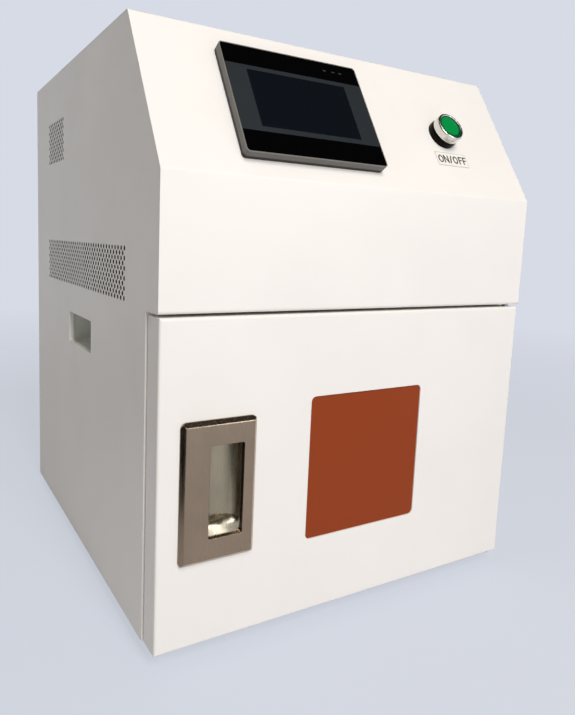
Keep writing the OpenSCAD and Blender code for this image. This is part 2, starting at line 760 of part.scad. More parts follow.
// Lamp, from the ceiling up
module led_cover_glass() {
    color("#dfeaf0") cabinet() along_z(glass_z, glass_t) translate([0, ch_mid])
        rounded(lamp_w + 2 * glass_rest, lamp_d + 2 * glass_rest, 3);
}
module glass_clamp_frame() {
    w = lamp_w + 2 * glass_rest;
    d = lamp_d + 2 * glass_rest;
    color("#c9c7c2") cabinet() translate([0, ch_mid]) {
        along_z(glass_z, glass_t) difference() {
            rect(w + 2 * clamp_w, d + 2 * clamp_w);
            rect(w + 2 * seat_fit, d + 2 * seat_fit);
        }
        along_z(glass_z + glass_t, 1) difference() {
            rect(w + 2 * clamp_w, d + 2 * clamp_w);
            rect(lamp_w, lamp_d);
        }
    }
}
module led_board() {
    color("#f2f4f2") cabinet() along_z(board_z, board_t) translate([0, ch_mid]) difference() {
        rounded(lamp_w + 6, lamp_d + 6, 3);
        for (x = [-1, 1], y = [-1, 1]) translate([x * lamp_w / 2, y * lamp_d / 2]) circle(1.6);
    }
}
module uv_leds() {
    color("#d9c88a") cabinet() translate([0, ch_mid, board_z])
        for (i = [0:led_cols - 1], j = [0:led_rows - 1])
            translate([(i - (led_cols - 1) / 2) * led_pitch, (j - (led_rows - 1) / 2) * led_pitch])
                union() {
                    translate([-led_size / 2, -led_size / 2, -1]) cube([led_size, led_size, 1]);
                    translate([0, 0, -1]) mirror([0, 0, 1])
                        rotate_extrude($fn = 24) intersection() {
                            circle(led_size * 0.36);
                            square(led_size);
                        }
                }
}
module led_heatsink() {
    fins = floor((sink_d - fin_t) / fin_pitch);
    color("#3b3d40") cabinet() translate([0, ch_mid]) difference() {
        translate([0, 0, 0]) along_x(-sink_w / 2, sink_w) translate([-sink_d / 2, sink_z]) {
            square([sink_d, sink_base]);
            for (i = [0:fins]) translate([(sink_d - fin_t) * i / fins, 0])
                square([fin_t, sink_base + fin_h]);
        }
        at_spacers() translate([0, 0, sink_z - 1]) cylinder(h = sink_base - 1, r = 1.7);
    }
}
module at_spacers() {
    for (x = [-1, 1], y = [-1, 1])
        translate([x * (sink_w / 2 - spacer_in), y * (sink_d / 2 - spacer_in)]) children();
}
module lamp_spacers() {
    color("silver") cabinet() translate([0, ch_mid, glass_z]) at_spacers() difference() {
        cylinder(h = lamp_rise, r = 4);
        translate([0, 0, -1]) cylinder(h = lamp_rise + 2, r = 1.7);
    }
}

// Axial fans, blowing along +Z, with the motor's post at the far side
module fan_holes(size) {
    for (x = [-1, 1], y = [-1, 1]) translate([x, y] * (size / 2 - fan_corner)) children();
}
module fan_frame(size) {
    hub = size * hub_share;
    difference() {
        union() {
            linear_extrude(fan_t) difference() {
                rounded(size, size, 4);
                circle(size / 2 - fan_wall);
            }
            translate([0, 0, fan_t - fan_base]) {
                cylinder(h = fan_base, r = hub);
                for (a = [45:90:315]) rotate([0, 0, a])
                    translate([hub - 1, -2, 0]) cube([size / 2 - hub, 4, fan_base]);
            }
            translate([0, 0, 5]) cylinder(h = fan_t - 5 - fan_base / 2, r = post_r);
        }
        translate([0, 0, -1]) linear_extrude(fan_t + 2) fan_holes(size) circle(m4_r + through_fit);
        // the corner screws' pillars stand free between the two end flanges
        for (a = [0:90:270]) rotate([0, 0, a]) translate([size / 2 - fan_wall / 2, 0, fan_t / 2])
            cube([fan_wall / 3, size * 0.5, fan_t - 8], center = true);
    }
}
module fan_rotor(size) {
    hub = size * hub_share;
    deep = fan_t - fan_base - hub_gap;
    tip = size / 2 - fan_wall - 1;
    difference() {
        translate([0, 0, 2]) cylinder(h = deep - 2, r = hub);
        translate([0, 0, 4]) cylinder(h = deep, r = post_r + run_fit);
        translate([0, 0, 6]) linear_extrude(deep) ring(hub - fan_wall, post_r + 3);
    }
    for (i = [0:fan_blades - 1]) rotate([0, 0, i * 360 / fan_blades]) intersection() {
        translate([hub - 1, 0, 0]) rotate([90, 0, 90]) linear_extrude(tip) polygon(blade_section());
        translate([0, 0, 1]) linear_extrude(fan_t) ring(tip, hub - 0.8);
    }
}
// Cambered section of a fan blade, as [round, along the axis]
function camber(s) = [-8 + 16 * s, 3.5 + 12 * s + 3 * sin(180 * s)];
function blade_section() = concat(
    [for (s = [0:0.2:1]) camber(s)],
    [for (s = [1:-0.2:0]) camber(s) + [0.9, -0.9]]);
module lamp_fan_place() {
    cabinet() translate([0, ch_mid, lamp_fan_z + fan_t]) rotate([180, 0, 0]) children();
}
module rear_fan_place() {
    cabinet() translate([rear_fan_x, rear_y - fan_t, rear_fan_z]) rotate([-90, 0, 0]) children();
}
module lamp_fan_frame() { color("#2a2b2d") lamp_fan_place() fan_frame(lamp_fan_size); }
module lamp_fan_rotor() { color("#343537") lamp_fan_place() fan_rotor(lamp_fan_size); }
module rear_fan_frame() { color("#2a2b2d") rear_fan_place() fan_frame(rear_fan_size); }
module rear_fan_rotor() { color("#343537") rear_fan_place() fan_rotor(rear_fan_size); }

// Door
module door_shell() {
    wall = [[-door_w / 2, door_t], [-door_w / 2, 0], [door_w / 2, 0], [door_w / 2, door_t]];
    top = [[door_t, door_top], [0, door_top], [0, door_lift], [door_t, door_lift]];
    color("#faf6f1") cabinet() difference() {
        intersection() {
            along_z(door_lift, door_h) polygon(rim_round(wall, door_edge_r));
            along_x(-door_w / 2, door_w) polygon(rim_round(top, door_edge_r));
        }
        along_y(door_sheet, door_t) translate([0, door_mid_z])
            rect(door_w - 2 * door_sheet, door_h - 2 * door_sheet);
        along_y(-1, door_sheet + 2) {
            translate([win_x, win_z]) rounded(win_w, win_h, win_r);
            translate([cup_x, pull_z]) rounded(cup_cut_w, cup_cut_h, 3);
            for (p = pull_screws) translate(p) circle(m4_r + through_fit);
        }
        translate([hinge_x, hinge_back, door_lift - 1])
            cylinder(h = door_h + 2, r = bush_neck_r + thread_fit);
    }
}
// Outline of a tray's section: both inner corners of an open line rounded
function rim_round(p, r) =
    concat([p[0]], corner(p[0], p[1], p[2], r, 6), corner(p[1], p[2], p[3], r, 6), [p[3]]);
module door_inner_panel() {
    color("#efebe5") cabinet() along_y(inner_y, door_sheet) difference() {
        translate([0, door_mid_z])
            rect(door_w - 2 * door_sheet - 2 * seat_fit, door_h - 2 * door_sheet - 2 * seat_fit);
        translate([win_x, win_z]) rounded(win_w, win_h, win_r);
    }
}
module door_window() {
    color("#9a4a22") cabinet() along_y(door_sheet, pane_t) translate([win_x, win_z])
        rounded(win_w + 2 * pane_lap, win_h + 2 * pane_lap, win_r);
}
module window_retainer() {
    back = door_sheet + pane_t;
    color("#26272a") cabinet() translate([win_x, 0, win_z]) {
        along_y(back, inner_y - back) difference() {
            rounded(win_w + 2 * door_sheet, win_h + 2 * door_sheet, win_r + door_sheet);
            rounded(win_w, win_h, win_r);
        }
        along_y(back, 2) difference() {
            rounded(win_w + 4 * pane_lap, win_h + 4 * pane_lap, win_r);
            rounded(win_w + door_sheet, win_h + door_sheet, win_r);
        }
        along_y(door_sheet, pane_t) difference() {
            rounded(win_w + 4 * pane_lap, win_h + 4 * pane_lap, win_r);
            rounded(win_w + 2 * pane_lap + 2 * seat_fit, win_h + 2 * pane_lap + 2 * seat_fit, win_r);
        }
    }
}
module door_seal() {
    color("#1f2022") cabinet() along_y(door_t, door_gap - face_fit) translate([0, ch_z + ch_h / 2])
        difference() {
            rounded(ch_w + 2 * seal_in + 2 * seal_w, ch_h + 2 * seal_in + 2 * seal_w, 10);
            rounded(ch_w + 2 * seal_in, ch_h + 2 * seal_in, 4);
        }
}

// Flush pull
module handle_plate() {
    color("#8a7a6c") cabinet() translate([-pull_x, 0, pull_z]) difference() {
        intersection() {
            along_y(-pull_t, pull_t) rounded(pull_w, pull_h, pull_r);
            along_z(-pull_h / 2, pull_h) polygon(rim(pull_w));
            along_x(-pull_w / 2, pull_w) polygon([for (p = rim(pull_h)) [p.y, p.x]]);
        }
        along_y(-pull_t - 1, pull_t + 2) translate([grip_open_x, 0])
            rounded(grip_open_w, grip_open_h, 1.5);
        for (p = pull_screws) along_y(-screw_deep, screw_deep + 1)
            translate([p.x + pull_x, p.y - pull_z]) circle(m4_r + thread_fit);
    }
}
// Section of the plate across a width: upright foot, then a sloping rim, as [across, depth]
function rim(w) =
    let (base = [w / 2, 0], foot = [w / 2, -0.8], brow = [w / 2 - pull_rim, -pull_t])
    let (side = concat([base], corner(base, foot, brow, 0.6, 3), corner(foot, brow, [0, -pull_t], 1.5, 4)))
    concat(side, [for (i = [len(side) - 1:-1:0]) [-side[i].x, side[i].y]]);
module cup_section(r) {
    intersection() {
        translate([0, cup_deep - cup_r]) circle(r, $fn = 96);
        translate([-r, 0]) square([2 * r, 2 * r]);
    }
}
module handle_cup() {
    color("#9b958c") cabinet() translate([cup_x, 0, pull_z]) difference() {
        along_z(-grip_open_h / 2 - cup_wall, grip_open_h + 2 * cup_wall) cup_section(cup_r + cup_wall);
        translate([0, -0.5, 0]) along_z(-grip_open_h / 2, grip_open_h) cup_section(cup_r);
    }
}
module handle_screws() {
    color("silver") cabinet() for (p = pull_screws) translate([p.x, door_sheet, p.y]) rotate([90, 0, 0])
        pan_screw(m4_r, door_sheet + screw_deep - 0.3, m4_head_r, m4_head_h);
}

// Catches, sensor and hinges
module door_strike_plates() {
    color("silver") cabinet() along_y(door_t, strike_t) for (z = catch_z) translate([-catch_x, z])
        difference() {
            rounded(strike_size.x, strike_size.y, 3);
            for (s = [-1, 1]) translate([0, s * strike_hole[0]]) circle(strike_hole[1]);
        }
}
module magnet_catches() {
    color("#3a3c40") cabinet() for (z = catch_z) translate([-catch_x, frame_y - catch_proud, z])
        rotate([-90, 0, 0]) {
            cylinder(h = catch_deep, r = catch_r);
            translate([0, 0, catch_proud + sheet]) cylinder(h = 2, r = catch_r + catch_flange);
        }
}
module sensor_magnet() {
    size = [10, 5, 23];
    color("#d8d8d4") cabinet() translate([-catch_x, inner_y - size.y / 2, sensor_z])
        cube(size, center = true);
}
module door_sensor() {
    size = sensor_size;
    color("#d8d8d4") cabinet() translate([-catch_x, ch_y + size.y / 2, sensor_z]) difference() {
        cube(size, center = true);
        for (s = [-1, 1]) translate([0, 0, s * (size.z / 2 - 3)]) rotate([90, 0, 0])
            cylinder(h = 2 * size.y, r = 1.4, center = true);
    }
}
module door_bushes() {
    color("#e8e4d8") cabinet() translate([hinge_x, hinge_back]) {
        translate([0, 0, door_top]) mirror([0, 0, 1]) bush(0);
        translate([0, 0, door_lift]) bush(door_lift - run_fit);
    }
}
// Bush whose neck passes through the door's edge and stands proud of it
module bush(proud) {
    difference() {
        union() {
            translate([0, 0, -proud]) cylinder(h = proud + door_sheet, r = bush_neck_r);
            translate([0, 0, door_sheet]) cylinder(h = bush_h, r = bush_r);
        }
        translate([0, 0, -proud - 1]) cylinder(h = bush_h + 4, r = pin_r + run_fit);
    }
}
module top_hinge_bracket() {
    top = fascia_z + sheet;
    color("#b4b6b8") cabinet() {
        translate([side_x - seat_fit - bracket_w, bend_r + seat_fit, top])
            cube([bracket_w, frame_y - bend_r - 2 * seat_fit, plate_t]);
        translate([hinge_x, hinge_back, door_top - pin_deep])
            cylinder(h = top + plate_t + 2 - door_top + pin_deep, r = pin_r);
        translate([hinge_x, hinge_back, top + plate_t]) cylinder(h = 2, r = pin_r + 1.5);
    }
}
module bottom_hinge_bracket() {
    end_r = hinge_back - end_back;
    color("#b4b6b8") cabinet() {
        difference() {
            along_z(-plate_t, plate_t) {
                translate([hinge_x, hinge_back]) circle(end_r);
                translate([hinge_x - end_r, hinge_back]) square([2 * end_r, bracket_d - hinge_back]);
                translate([side_x - bracket_w, ch_y]) square([bracket_w, bracket_d - ch_y]);
            }
            for (y = [0.55, 0.85]) translate([hinge_x, bracket_d * y, -plate_t - 1])
                cylinder(h = plate_t + 2, r = m4_r + through_fit);
        }
        translate([hinge_x, hinge_back, -plate_t]) cylinder(h = plate_t + door_lift + pin_deep, r = pin_r);
    }
}

// Touch panel on the slope
module hmi_place() { on_slope(-hmi_x, hmi_u) children(); }
module hmi_gasket() {
    color("#161718") hmi_place() linear_extrude(gasket_t) difference() {
        rounded(hmi_w - 0.4, hmi_h - 0.4, hmi_r - 0.2);
        rect(case_w + seat_fit, case_h + seat_fit);
    }
}
module hmi_bezel() {
    color("#5c5a56") hmi_place() translate([0, 0, gasket_t]) difference() {
        linear_extrude(hmi_t) rounded(hmi_w, hmi_h, hmi_r);
        translate([0, 0, overlay_n - gasket_t]) linear_extrude(2)
            rounded(overlay_w, overlay_h, hmi_r - overlay_in / 2);
        translate([0, 0, -1]) linear_extrude(hmi_t + 2) rect(lcd_w + 2 * seat_fit, lcd_h + 2 * seat_fit);
    }
}
module hmi_overlay() {
    color("#111214") hmi_place() translate([0, 0, overlay_n]) linear_extrude(overlay_t)
        rounded(overlay_w - 2 * seat_fit, overlay_h - 2 * seat_fit, hmi_r - overlay_in / 2);
}
module hmi_display() {
    color("#101a2c") hmi_place() translate([0, 0, gasket_t])
        linear_extrude(overlay_n - gasket_t) rect(lcd_w, lcd_h);
}
module hmi_rear_case() {
    color("#2a2b2d") hmi_place() difference() {
        translate([0, 0, -sheet - hmi_deep]) linear_extrude(hmi_deep + sheet + gasket_t) rect(case_w, case_h);
        for (i = [-4:4]) translate([i * 10, 0, -sheet - hmi_deep]) cube([3, case_h - 30, 3], center = true);
        translate([0, -case_h / 2, -sheet - hmi_deep + 12]) cube([50, 16, 12], center = true);
    }
}
module hmi_clamps() {
    color("silver") hmi_place() for (x = [-1, 1], y = [-1, 1])
        translate([x * (case_w / 2 + hmi_clamp_t / 2), y * case_h / 4, 0]) {
            translate([0, 0, -sheet - 16]) linear_extrude(10) rect(hmi_clamp_t, 12);
            translate([0, 0, -sheet - 24]) cylinder(h = 24, r = 1.5);
            translate([0, 0, -sheet - 1]) cylinder(h = 1, r = 3);
        }
}

// Power button on the slope
module btn_place() { on_slope(btn_x, btn_u) children(); }
module button_collar() {
    color("#17181a") btn_place() rotate_extrude($fn = 72) polygon([
        [barrel_r + seat_fit, 0], [ring_r + 0.3, 0], [ring_r + 0.3, 0.6 * collar_h],
        [ring_r - 0.3, collar_h], [barrel_r + seat_fit, collar_h]]);
}
module button_ring() {
    seat = ring_top - lens_drop - lens_t - btn_travel - face_fit;
    color("#c5c8ca") btn_place() rotate_extrude($fn = 72) difference() {
        polygon(concat(
            [[stem_r + run_fit, -barrel_deep], [barrel_r, -barrel_deep], [barrel_r, collar_h],
                [ring_r, collar_h], [ring_r, ring_top - 1.6]],
            [for (a = [15:15:90]) [ring_r - 1.6 + 1.6 * cos(a), ring_top - 1.6 + 1.6 * sin(a)]],
            [[lens_r + run_fit + 0.6, ring_top], [lens_r + run_fit, ring_top - 0.6],
                [lens_r + run_fit, seat], [stem_r + run_fit, seat]]));
    }
}
module button_cap() {
    crown = 0.6;
    top = ring_top - lens_drop;
    color("#1f8a4c") btn_place() rotate_extrude($fn = 72) polygon(concat(
        [[0, -barrel_deep + 4], [stem_r, -barrel_deep + 4], [stem_r, top - lens_t],
            [lens_r, top - lens_t], [lens_r, top - crown]],
        [for (i = [1:8]) [(lens_r - 0.4) * cos(90 * i / 8), top - crown + crown * sin(90 * i / 8)]]));
}
module button_nut() {
    color("silver") btn_place() translate([0, 0, -sheet - btn_nut_t]) difference() {
        cylinder(h = btn_nut_t, r = ring_r + 1.5, $fn = 6);
        translate([0, 0, -1]) cylinder(h = btn_nut_t + 2, r = barrel_r + thread_fit);
    }
}
module button_contact_block() {
    color("#2b6b4a") btn_place() translate([0, 0, -barrel_deep - block_deep]) difference() {
        linear_extrude(block_deep) rect(block_w, block_h);
        translate([0, 0, block_deep - btn_travel - 1]) cylinder(h = btn_travel + 2, r = stem_r + face_fit);
        for (x = [-1, 1]) translate([x * 7, 0, -1]) linear_extrude(7) rect(5, block_h - 10);
    }
}

// Mains inlet in the rear cover
module inlet_socket() {
    chamfer = 4.5;
    w = socket_w / 2;
    h = socket_h / 2;
    polygon([[-w, -h], [w, -h], [w, h - chamfer], [w - chamfer, h], [-w + chamfer, h], [-w, h - chamfer]]);
}
module mains_inlet() {
    color("#1d1e20") cabinet() translate([-inlet_x, 0, inlet_z]) {
        difference() {
            union() {
                along_y(cab_d, back_proud) rounded(inlet_flange_w, inlet_flange_h, 5);
                along_y(cab_d - inlet_deep, inlet_deep + 1) rect(inlet_w, inlet_h);
            }
            along_y(cab_d + back_proud - socket_deep, socket_deep + 1) inlet_socket();
            for (s = [-1, 1]) translate([s * inlet_screw_x, cab_d + back_proud]) rotate([90, 0, 0]) {
                cylinder(h = back_proud, r = 1.7);
                cylinder(h = 1.6, r1 = 3.2, r2 = 1.7);
            }
        }
        for (p = [[-7, -2], [7, -2], [0, 2.2]])
            along_y(cab_d - inlet_deep - 6, socket_deep + back_proud + 3) translate(p) rect(2, 4);
    }
}

// Electronics on the shelf
module power_supply() {
    size = psu_size;
    in_z = 6;                                    // recess above the case's foot
    color("#b8bbbe") cabinet() translate([-side_x + unit_in, unit_y, deck_z]) difference() {
        cube(size);
        translate([sheet, psu_recess.y + sheet, sheet])
            cube([size.x - 2 * sheet, size.y - psu_recess.y - 2 * sheet, size.z - 2 * sheet]);
        translate([(size.x - psu_recess.x) / 2, -1, in_z]) cube([psu_recess.x, psu_recess.y + 1, psu_recess.z]);
        for (i = [0:9], j = [0:3]) translate([20 + i * 8, size.y - 60 + j * 10, size.z - 2])
            cylinder(h = 3, r = 2.2);
    }
}
module led_driver() {
    size = driver_size;
    grooves = 7;
    color("#8f9498") cabinet() translate([side_x - unit_in - size.x, unit_y, deck_z]) difference() {
        cube(size);
        for (i = [0:grooves - 1])
            translate([size.x * (i + 1) / (grooves + 1) - driver_fin[0] / 2, -1, size.z - driver_fin[1]])
                cube([driver_fin[0], size.y + 2, driver_fin[1] + 1]);
    }
}
// Board midway between the power supply and the driver
module control_board() {
    size = pcb_size;
    top = pcb_rise + size.z;
    pillars = [for (x = [pcb_in, size.x - pcb_in], y = [pcb_in, size.y - pcb_in]) [x, y]];
    color("#1e6b3c") cabinet() translate([(psu_size.x - driver_size.x - size.x) / 2, unit_y, deck_z]) {
        difference() {
            translate([0, 0, pcb_rise]) cube(size);
            for (p = pillars) translate([p.x, p.y, pcb_rise - 1]) cylinder(h = size.z + 2, r = 1.6);
        }
        for (p = pillars) translate(p) cylinder(h = pcb_rise, r = 3);
        translate([14, 20, top]) cube(relay_size);
        for (i = [0:5]) translate([size.x - terminal_size.x - 6, 14 + i * terminal_pitch, top])
            cube(terminal_size);
        for (i = [0:2]) translate([22, 80 + i * 16, top]) cylinder(h = capacitor[1], r = capacitor[0]);
    }
}

top_front_cover();
left_side_panel();
right_side_panel();
base_pan();
front_frame();
rear_cover();
rear_cover_screws();
equipment_shelf();
left_carry_grip();
right_carry_grip();
rubber_feet();
foot_screws();
chamber_liner();
chamber_back_wall();
chamber_ceiling();
chamber_supports();
turntable_plate();
drive_spindle();
turntable_bearing();
turntable_motor();
led_cover_glass();
glass_clamp_frame();
led_board();
uv_leds();
led_heatsink();
lamp_spacers();
lamp_fan_frame();
lamp_fan_rotor();
door_shell();
door_inner_panel();
door_window();
window_retainer();
door_seal();
handle_plate();
handle_cup();
handle_screws();
door_strike_plates();
sensor_magnet();
door_bushes();
top_hinge_bracket();
bottom_hinge_bracket();
magnet_catches();
door_sensor();
hmi_bezel();
hmi_overlay();
hmi_display();
hmi_rear_case();
hmi_gasket();
hmi_clamps();
button_cap();
button_ring();
button_collar();
button_nut();
button_contact_block();
mains_inlet();
rear_fan_frame();
rear_fan_rotor();
power_supply();
led_driver();
control_board();
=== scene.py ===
"""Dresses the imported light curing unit: finishes for every solid, the printed and
small fitted pieces, and a plain studio. Run as a script; laid out as an add-on."""

import json
import math

import bpy
import numpy as np
from mathutils import Matrix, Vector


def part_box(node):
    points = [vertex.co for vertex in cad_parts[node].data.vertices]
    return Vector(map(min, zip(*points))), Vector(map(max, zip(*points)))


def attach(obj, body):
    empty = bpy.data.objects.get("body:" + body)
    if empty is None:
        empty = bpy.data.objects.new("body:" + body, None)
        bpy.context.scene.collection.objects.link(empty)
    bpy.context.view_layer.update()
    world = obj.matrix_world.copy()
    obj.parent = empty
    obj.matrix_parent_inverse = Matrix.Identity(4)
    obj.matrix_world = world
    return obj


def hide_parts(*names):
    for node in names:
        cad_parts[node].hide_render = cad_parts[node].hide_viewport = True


bl_info = {
    "name": "Light curing unit",
    "version": (1, 0, 0),
    "blender": (4, 5, 0),
    "location": "3D View > Sidebar > Curing unit",
    "description": "Finishes, printed panel, fitted details and studio for a light curing unit",
    "category": "Object",
}

MM = 0.001
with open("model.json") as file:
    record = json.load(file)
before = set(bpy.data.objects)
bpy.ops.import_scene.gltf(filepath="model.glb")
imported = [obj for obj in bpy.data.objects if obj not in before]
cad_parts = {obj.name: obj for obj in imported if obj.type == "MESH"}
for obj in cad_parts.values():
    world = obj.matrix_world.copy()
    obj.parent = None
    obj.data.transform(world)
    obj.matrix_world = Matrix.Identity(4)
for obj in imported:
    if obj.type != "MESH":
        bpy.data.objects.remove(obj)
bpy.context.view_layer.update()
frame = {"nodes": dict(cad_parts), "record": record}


# Colour and places

def linear(code):
    """Turns an sRGB hex colour into linear red, green, blue and alpha."""
    c = np.array([int(code[i:i + 2], 16) for i in (1, 3, 5)]) / 255
    rgb = np.where(c <= 0.04045, c / 12.92, ((c + 0.055) / 1.055) ** 2.4)
    return (*map(float, rgb), 1.0)


def middle(node):
    """Middle of a solid's box, in metres."""
    low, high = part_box(node)
    return np.array((low + high) / 2)


# The sloping front: X runs across, UP runs up the slope and OUT points out of it
SLOPE = math.radians(59.21)
ACROSS = np.array([1.0, 0.0, 0.0])
UP = np.array([0.0, math.cos(SLOPE), math.sin(SLOPE)])
OUT = np.array([0.0, -math.sin(SLOPE), math.cos(SLOPE)])
# The film is 0.7 mm thick, so its face lies half of that over its middle
FILM_FACE = middle("hmi_overlay") + OUT * 0.35 * MM
# The button's collar is 6.8 mm tall and stands on the cabinet sheet
BUTTON_FOOT = middle("button_collar") - OUT * 3.4 * MM

# Where finishes change, in millimetres. Below the first depth under the film's face the bezel's
# foot gets painted shade, near black, and above the second its rim gets a paler painted highlight.
BEZEL_SHADE_FOOT = 5.5
BEZEL_HIGHLIGHT_RIM = 0.7
# The lens's rim gets painted shade, darker between these distances from its axis
LENS_SHADE_RIM = (9.4, 11.0)
# Middle and half reach of the walls of the grilles' holes, which get painted shade: in from a
# side's face, from front to back, and in height
WALLS_IN = (0.6, 0.55)
WALLS_BACK = (5.0, 145.0)
WALLS_UP = (358.5, 96.5)


# Surfaces: every shape is a grid of points, put into a mesh as whole arrays

def grid_faces(rows, cols):
    """Four-sided faces of a grid of rows by cols points whose rows close on themselves."""
    r, c = np.meshgrid(np.arange(rows - 1), np.arange(cols), indexing="ij")
    a, b = r * cols + c, r * cols + (c + 1) % cols
    return np.stack([a, b, b + cols, a + cols], axis=-1).reshape(-1, 4)


def make_piece(name, loops, body, material, smooth=True):
    """Makes one piece from closed loops of points, an array of loops x rows x points x 3.
    Each set of rows is skinned, and its first and last rows are closed with a face."""
    verts, faces, start = [], [], 0
    for rows in loops:
        n, m = rows.shape[:2]
        verts.append(rows.reshape(-1, 3))
        faces += (grid_faces(n, m) + start).tolist()
        faces.append((np.arange(m)[::-1] + start).tolist())
        faces.append((np.arange(m) + start + (n - 1) * m).tolist())
        start += n * m
    mesh = bpy.data.meshes.new(name)
    mesh.from_pydata(np.concatenate(verts).tolist(), [], faces)
    mesh.validate()
    if smooth:
        mesh.shade_smooth()
        mesh.set_sharp_from_angle(angle=math.radians(35))
    piece = bpy.data.objects.new(name, mesh)
    bpy.context.scene.collection.objects.link(piece)
    mesh.materials.append(material)
    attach(piece, body)
    return piece


def rounded_outline(width, height, radius, n=8):
    """Rounded rectangle: each quarter is (w/2 - r, h/2 - r) signed, plus r times (cos t, sin t)."""
    t = np.linspace(0, math.pi / 2, n)
    quarters = []
    for k, (sx, sy) in enumerate([(1, 1), (-1, 1), (-1, -1), (1, -1)]):
        a = t + k * math.pi / 2
        quarters.append(np.stack([sx * (width / 2 - radius) + radius * np.cos(a),
                                  sy * (height / 2 - radius) + radius * np.sin(a)], axis=1))
    return np.concatenate(quarters)


def plate_rows(width, height, radius, profile):
    """A plate: its outline shrunk by each inset of the profile and raised by each height.
    Row k is the rounded rectangle (w - 2 inset, h - 2 inset, r - inset) at its height."""
    rows = []
    for inset, rise in profile:
        flat = rounded_outline(width - 2 * inset, height - 2 * inset, max(radius - inset, 0.05))
        rows.append(np.column_stack([flat, np.full(len(flat), rise)]))
    return np.array(rows)


def turned_rows(profile, n=32):
    """A turned piece: point (r cos t, r sin t, z) for each (r, z) of the profile."""
    t = np.linspace(0, 2 * math.pi, n, endpoint=False)
    return np.array([np.column_stack([r * np.cos(t), r * np.sin(t), np.full(n, z)])
                     for r, z in profile])


def stroke_rows(a, b, width, rise):
    """A printed stroke from a to b: a narrow rounded plate laid along the line between them."""
    a, b = np.array(a, float), np.array(b, float)
    along = b - a
    length = np.hypot(*along)
    rows = plate_rows(length + width, width, width * 0.35, [(0, 0), (0, rise)])
    c, s = along / length
    flat = rows[..., :2] @ np.array([[c, s], [-s, c]]) + (a + b) / 2
    return np.concatenate([flat, rows[..., 2:]], axis=-1)


def oval_rows(centre, rx, ry, width, rise, n=28):
    """A printed letter O: its section, a flat rectangle, is carried round the ellipse
    (rx cos t, ry sin t), and the rows join end to end."""
    t = np.linspace(0, 2 * math.pi, n + 1)
    side = np.array([-1, 1, 1, -1]) * width / 2
    lift = np.array([0, 0, 1, 1]) * rise
    x = centre[0] + (rx + side[None, :]) * np.cos(t)[:, None]
    y = centre[1] + (ry + side[None, :]) * np.sin(t)[:, None]
    return np.stack([x, y, np.broadcast_to(lift, x.shape)], axis=-1)


def smooth_least(a, b, ease):
    """The lesser of two depths, with the corner between them rounded over the given ease."""
    share = np.clip(0.5 + 0.5 * (b - a) / ease, 0, 1)
    return b * (1 - share) + a * share - ease * share * (1 - share)


def on_slope(rows, foot, x=0.0, u=0.0, out=0.0):
    """Lays rows, in millimetres, on the slope: x across, y up the slope, z out of it."""
    local = rows + np.array([x, u, out])
    return foot + (local[..., :1] * ACROSS + local[..., 1:2] * UP + local[..., 2:] * OUT) * MM


def facing(rows, foot, axis, side):
    """Turns rows, in millimetres, so that their z points along axis and their x along side."""
    axis, side = np.array(axis, float), np.array(side, float)
    across = np.cross(axis, side)
    return foot + (rows[..., :1] * side + rows[..., 1:2] * across + rows[..., 2:] * axis) * MM


# Finishes

def add(tree, kind, settings=None, inputs=None):
    """Adds a node with its settings, and gives each named input a value or a link."""
    node = tree.nodes.new(kind)
    for key, value in (settings or {}).items():
        setattr(node, key, value)
    for key, value in (inputs or {}).items():
        socket = node.inputs[key]
        if isinstance(value, bpy.types.NodeSocket):
            tree.links.new(value, socket)
        else:
            socket.default_value = value
    return node


def new_finish(name, colour, roughness, **sockets):
    """A material with one principled shader, and Object coordinates for its patterns."""
    material = bpy.data.materials.new(name)
    material.use_nodes = True
    tree = material.node_tree
    shader = tree.nodes["Principled BSDF"]
    shader.inputs["Base Color"].default_value = colour
    shader.inputs["Roughness"].default_value = roughness
    for key, value in sockets.items():
        shader.inputs[key.replace("_", " ").title().replace("Ior", "IOR")].default_value = value
    place = add(tree, "ShaderNodeTexCoord").outputs["Object"]
    return material, tree, shader, place


def grain(tree, place, size_mm, detail=2.0, stretch=(1, 1, 1)):
    """A pattern of grains about size_mm across: the place is scaled by stretch, so that a small
    scale draws the grains out along that axis, and smooth noise is read there."""
    drawn = add(tree, "ShaderNodeMapping", None, {"Vector": place, "Scale": stretch})
    return add(tree, "ShaderNodeTexNoise", None, {
        "Vector": drawn.outputs["Vector"], "Scale": 1 / (size_mm * MM), "Detail": detail,
    }).outputs["Fac"]


def uneven_sheen(tree, shader, value, low, high):
    """Lets the roughness go from low to high as a pattern goes from 0.3 to 0.7."""
    sheen = add(tree, "ShaderNodeMapRange", None, {
        "Value": value, "From Min": 0.3, "From Max": 0.7, "To Min": low, "To Max": high})
    tree.links.new(sheen.outputs["Result"], shader.inputs["Roughness"])


def tint(tree, shader, value, dark, light):
    """Varies the base colour between two near shades by a pattern."""
    ramp = add(tree, "ShaderNodeValToRGB", None, {"Fac": value})
    ramp.color_ramp.elements[0].position, ramp.color_ramp.elements[0].color = 0.35, dark
    ramp.color_ramp.elements[1].position, ramp.color_ramp.elements[1].color = 0.65, light
    tree.links.new(ramp.outputs["Color"], shader.inputs["Base Color"])


def from_axis(tree, place, centre, axis):
    """Distance of a place from an axis: the length of the cross product of the two."""
    moved = add(tree, "ShaderNodeMapping", None, {
        "Vector": place, "Location": tuple(map(float, -centre))})
    crossed = add(tree, "ShaderNodeVectorMath", {"operation": "CROSS_PRODUCT"}, {
        0: moved.outputs["Vector"], 1: tuple(map(float, axis))})
    return add(tree, "ShaderNodeVectorMath", {"operation": "LENGTH"}, {
        0: crossed.outputs["Vector"]}).outputs["Value"]


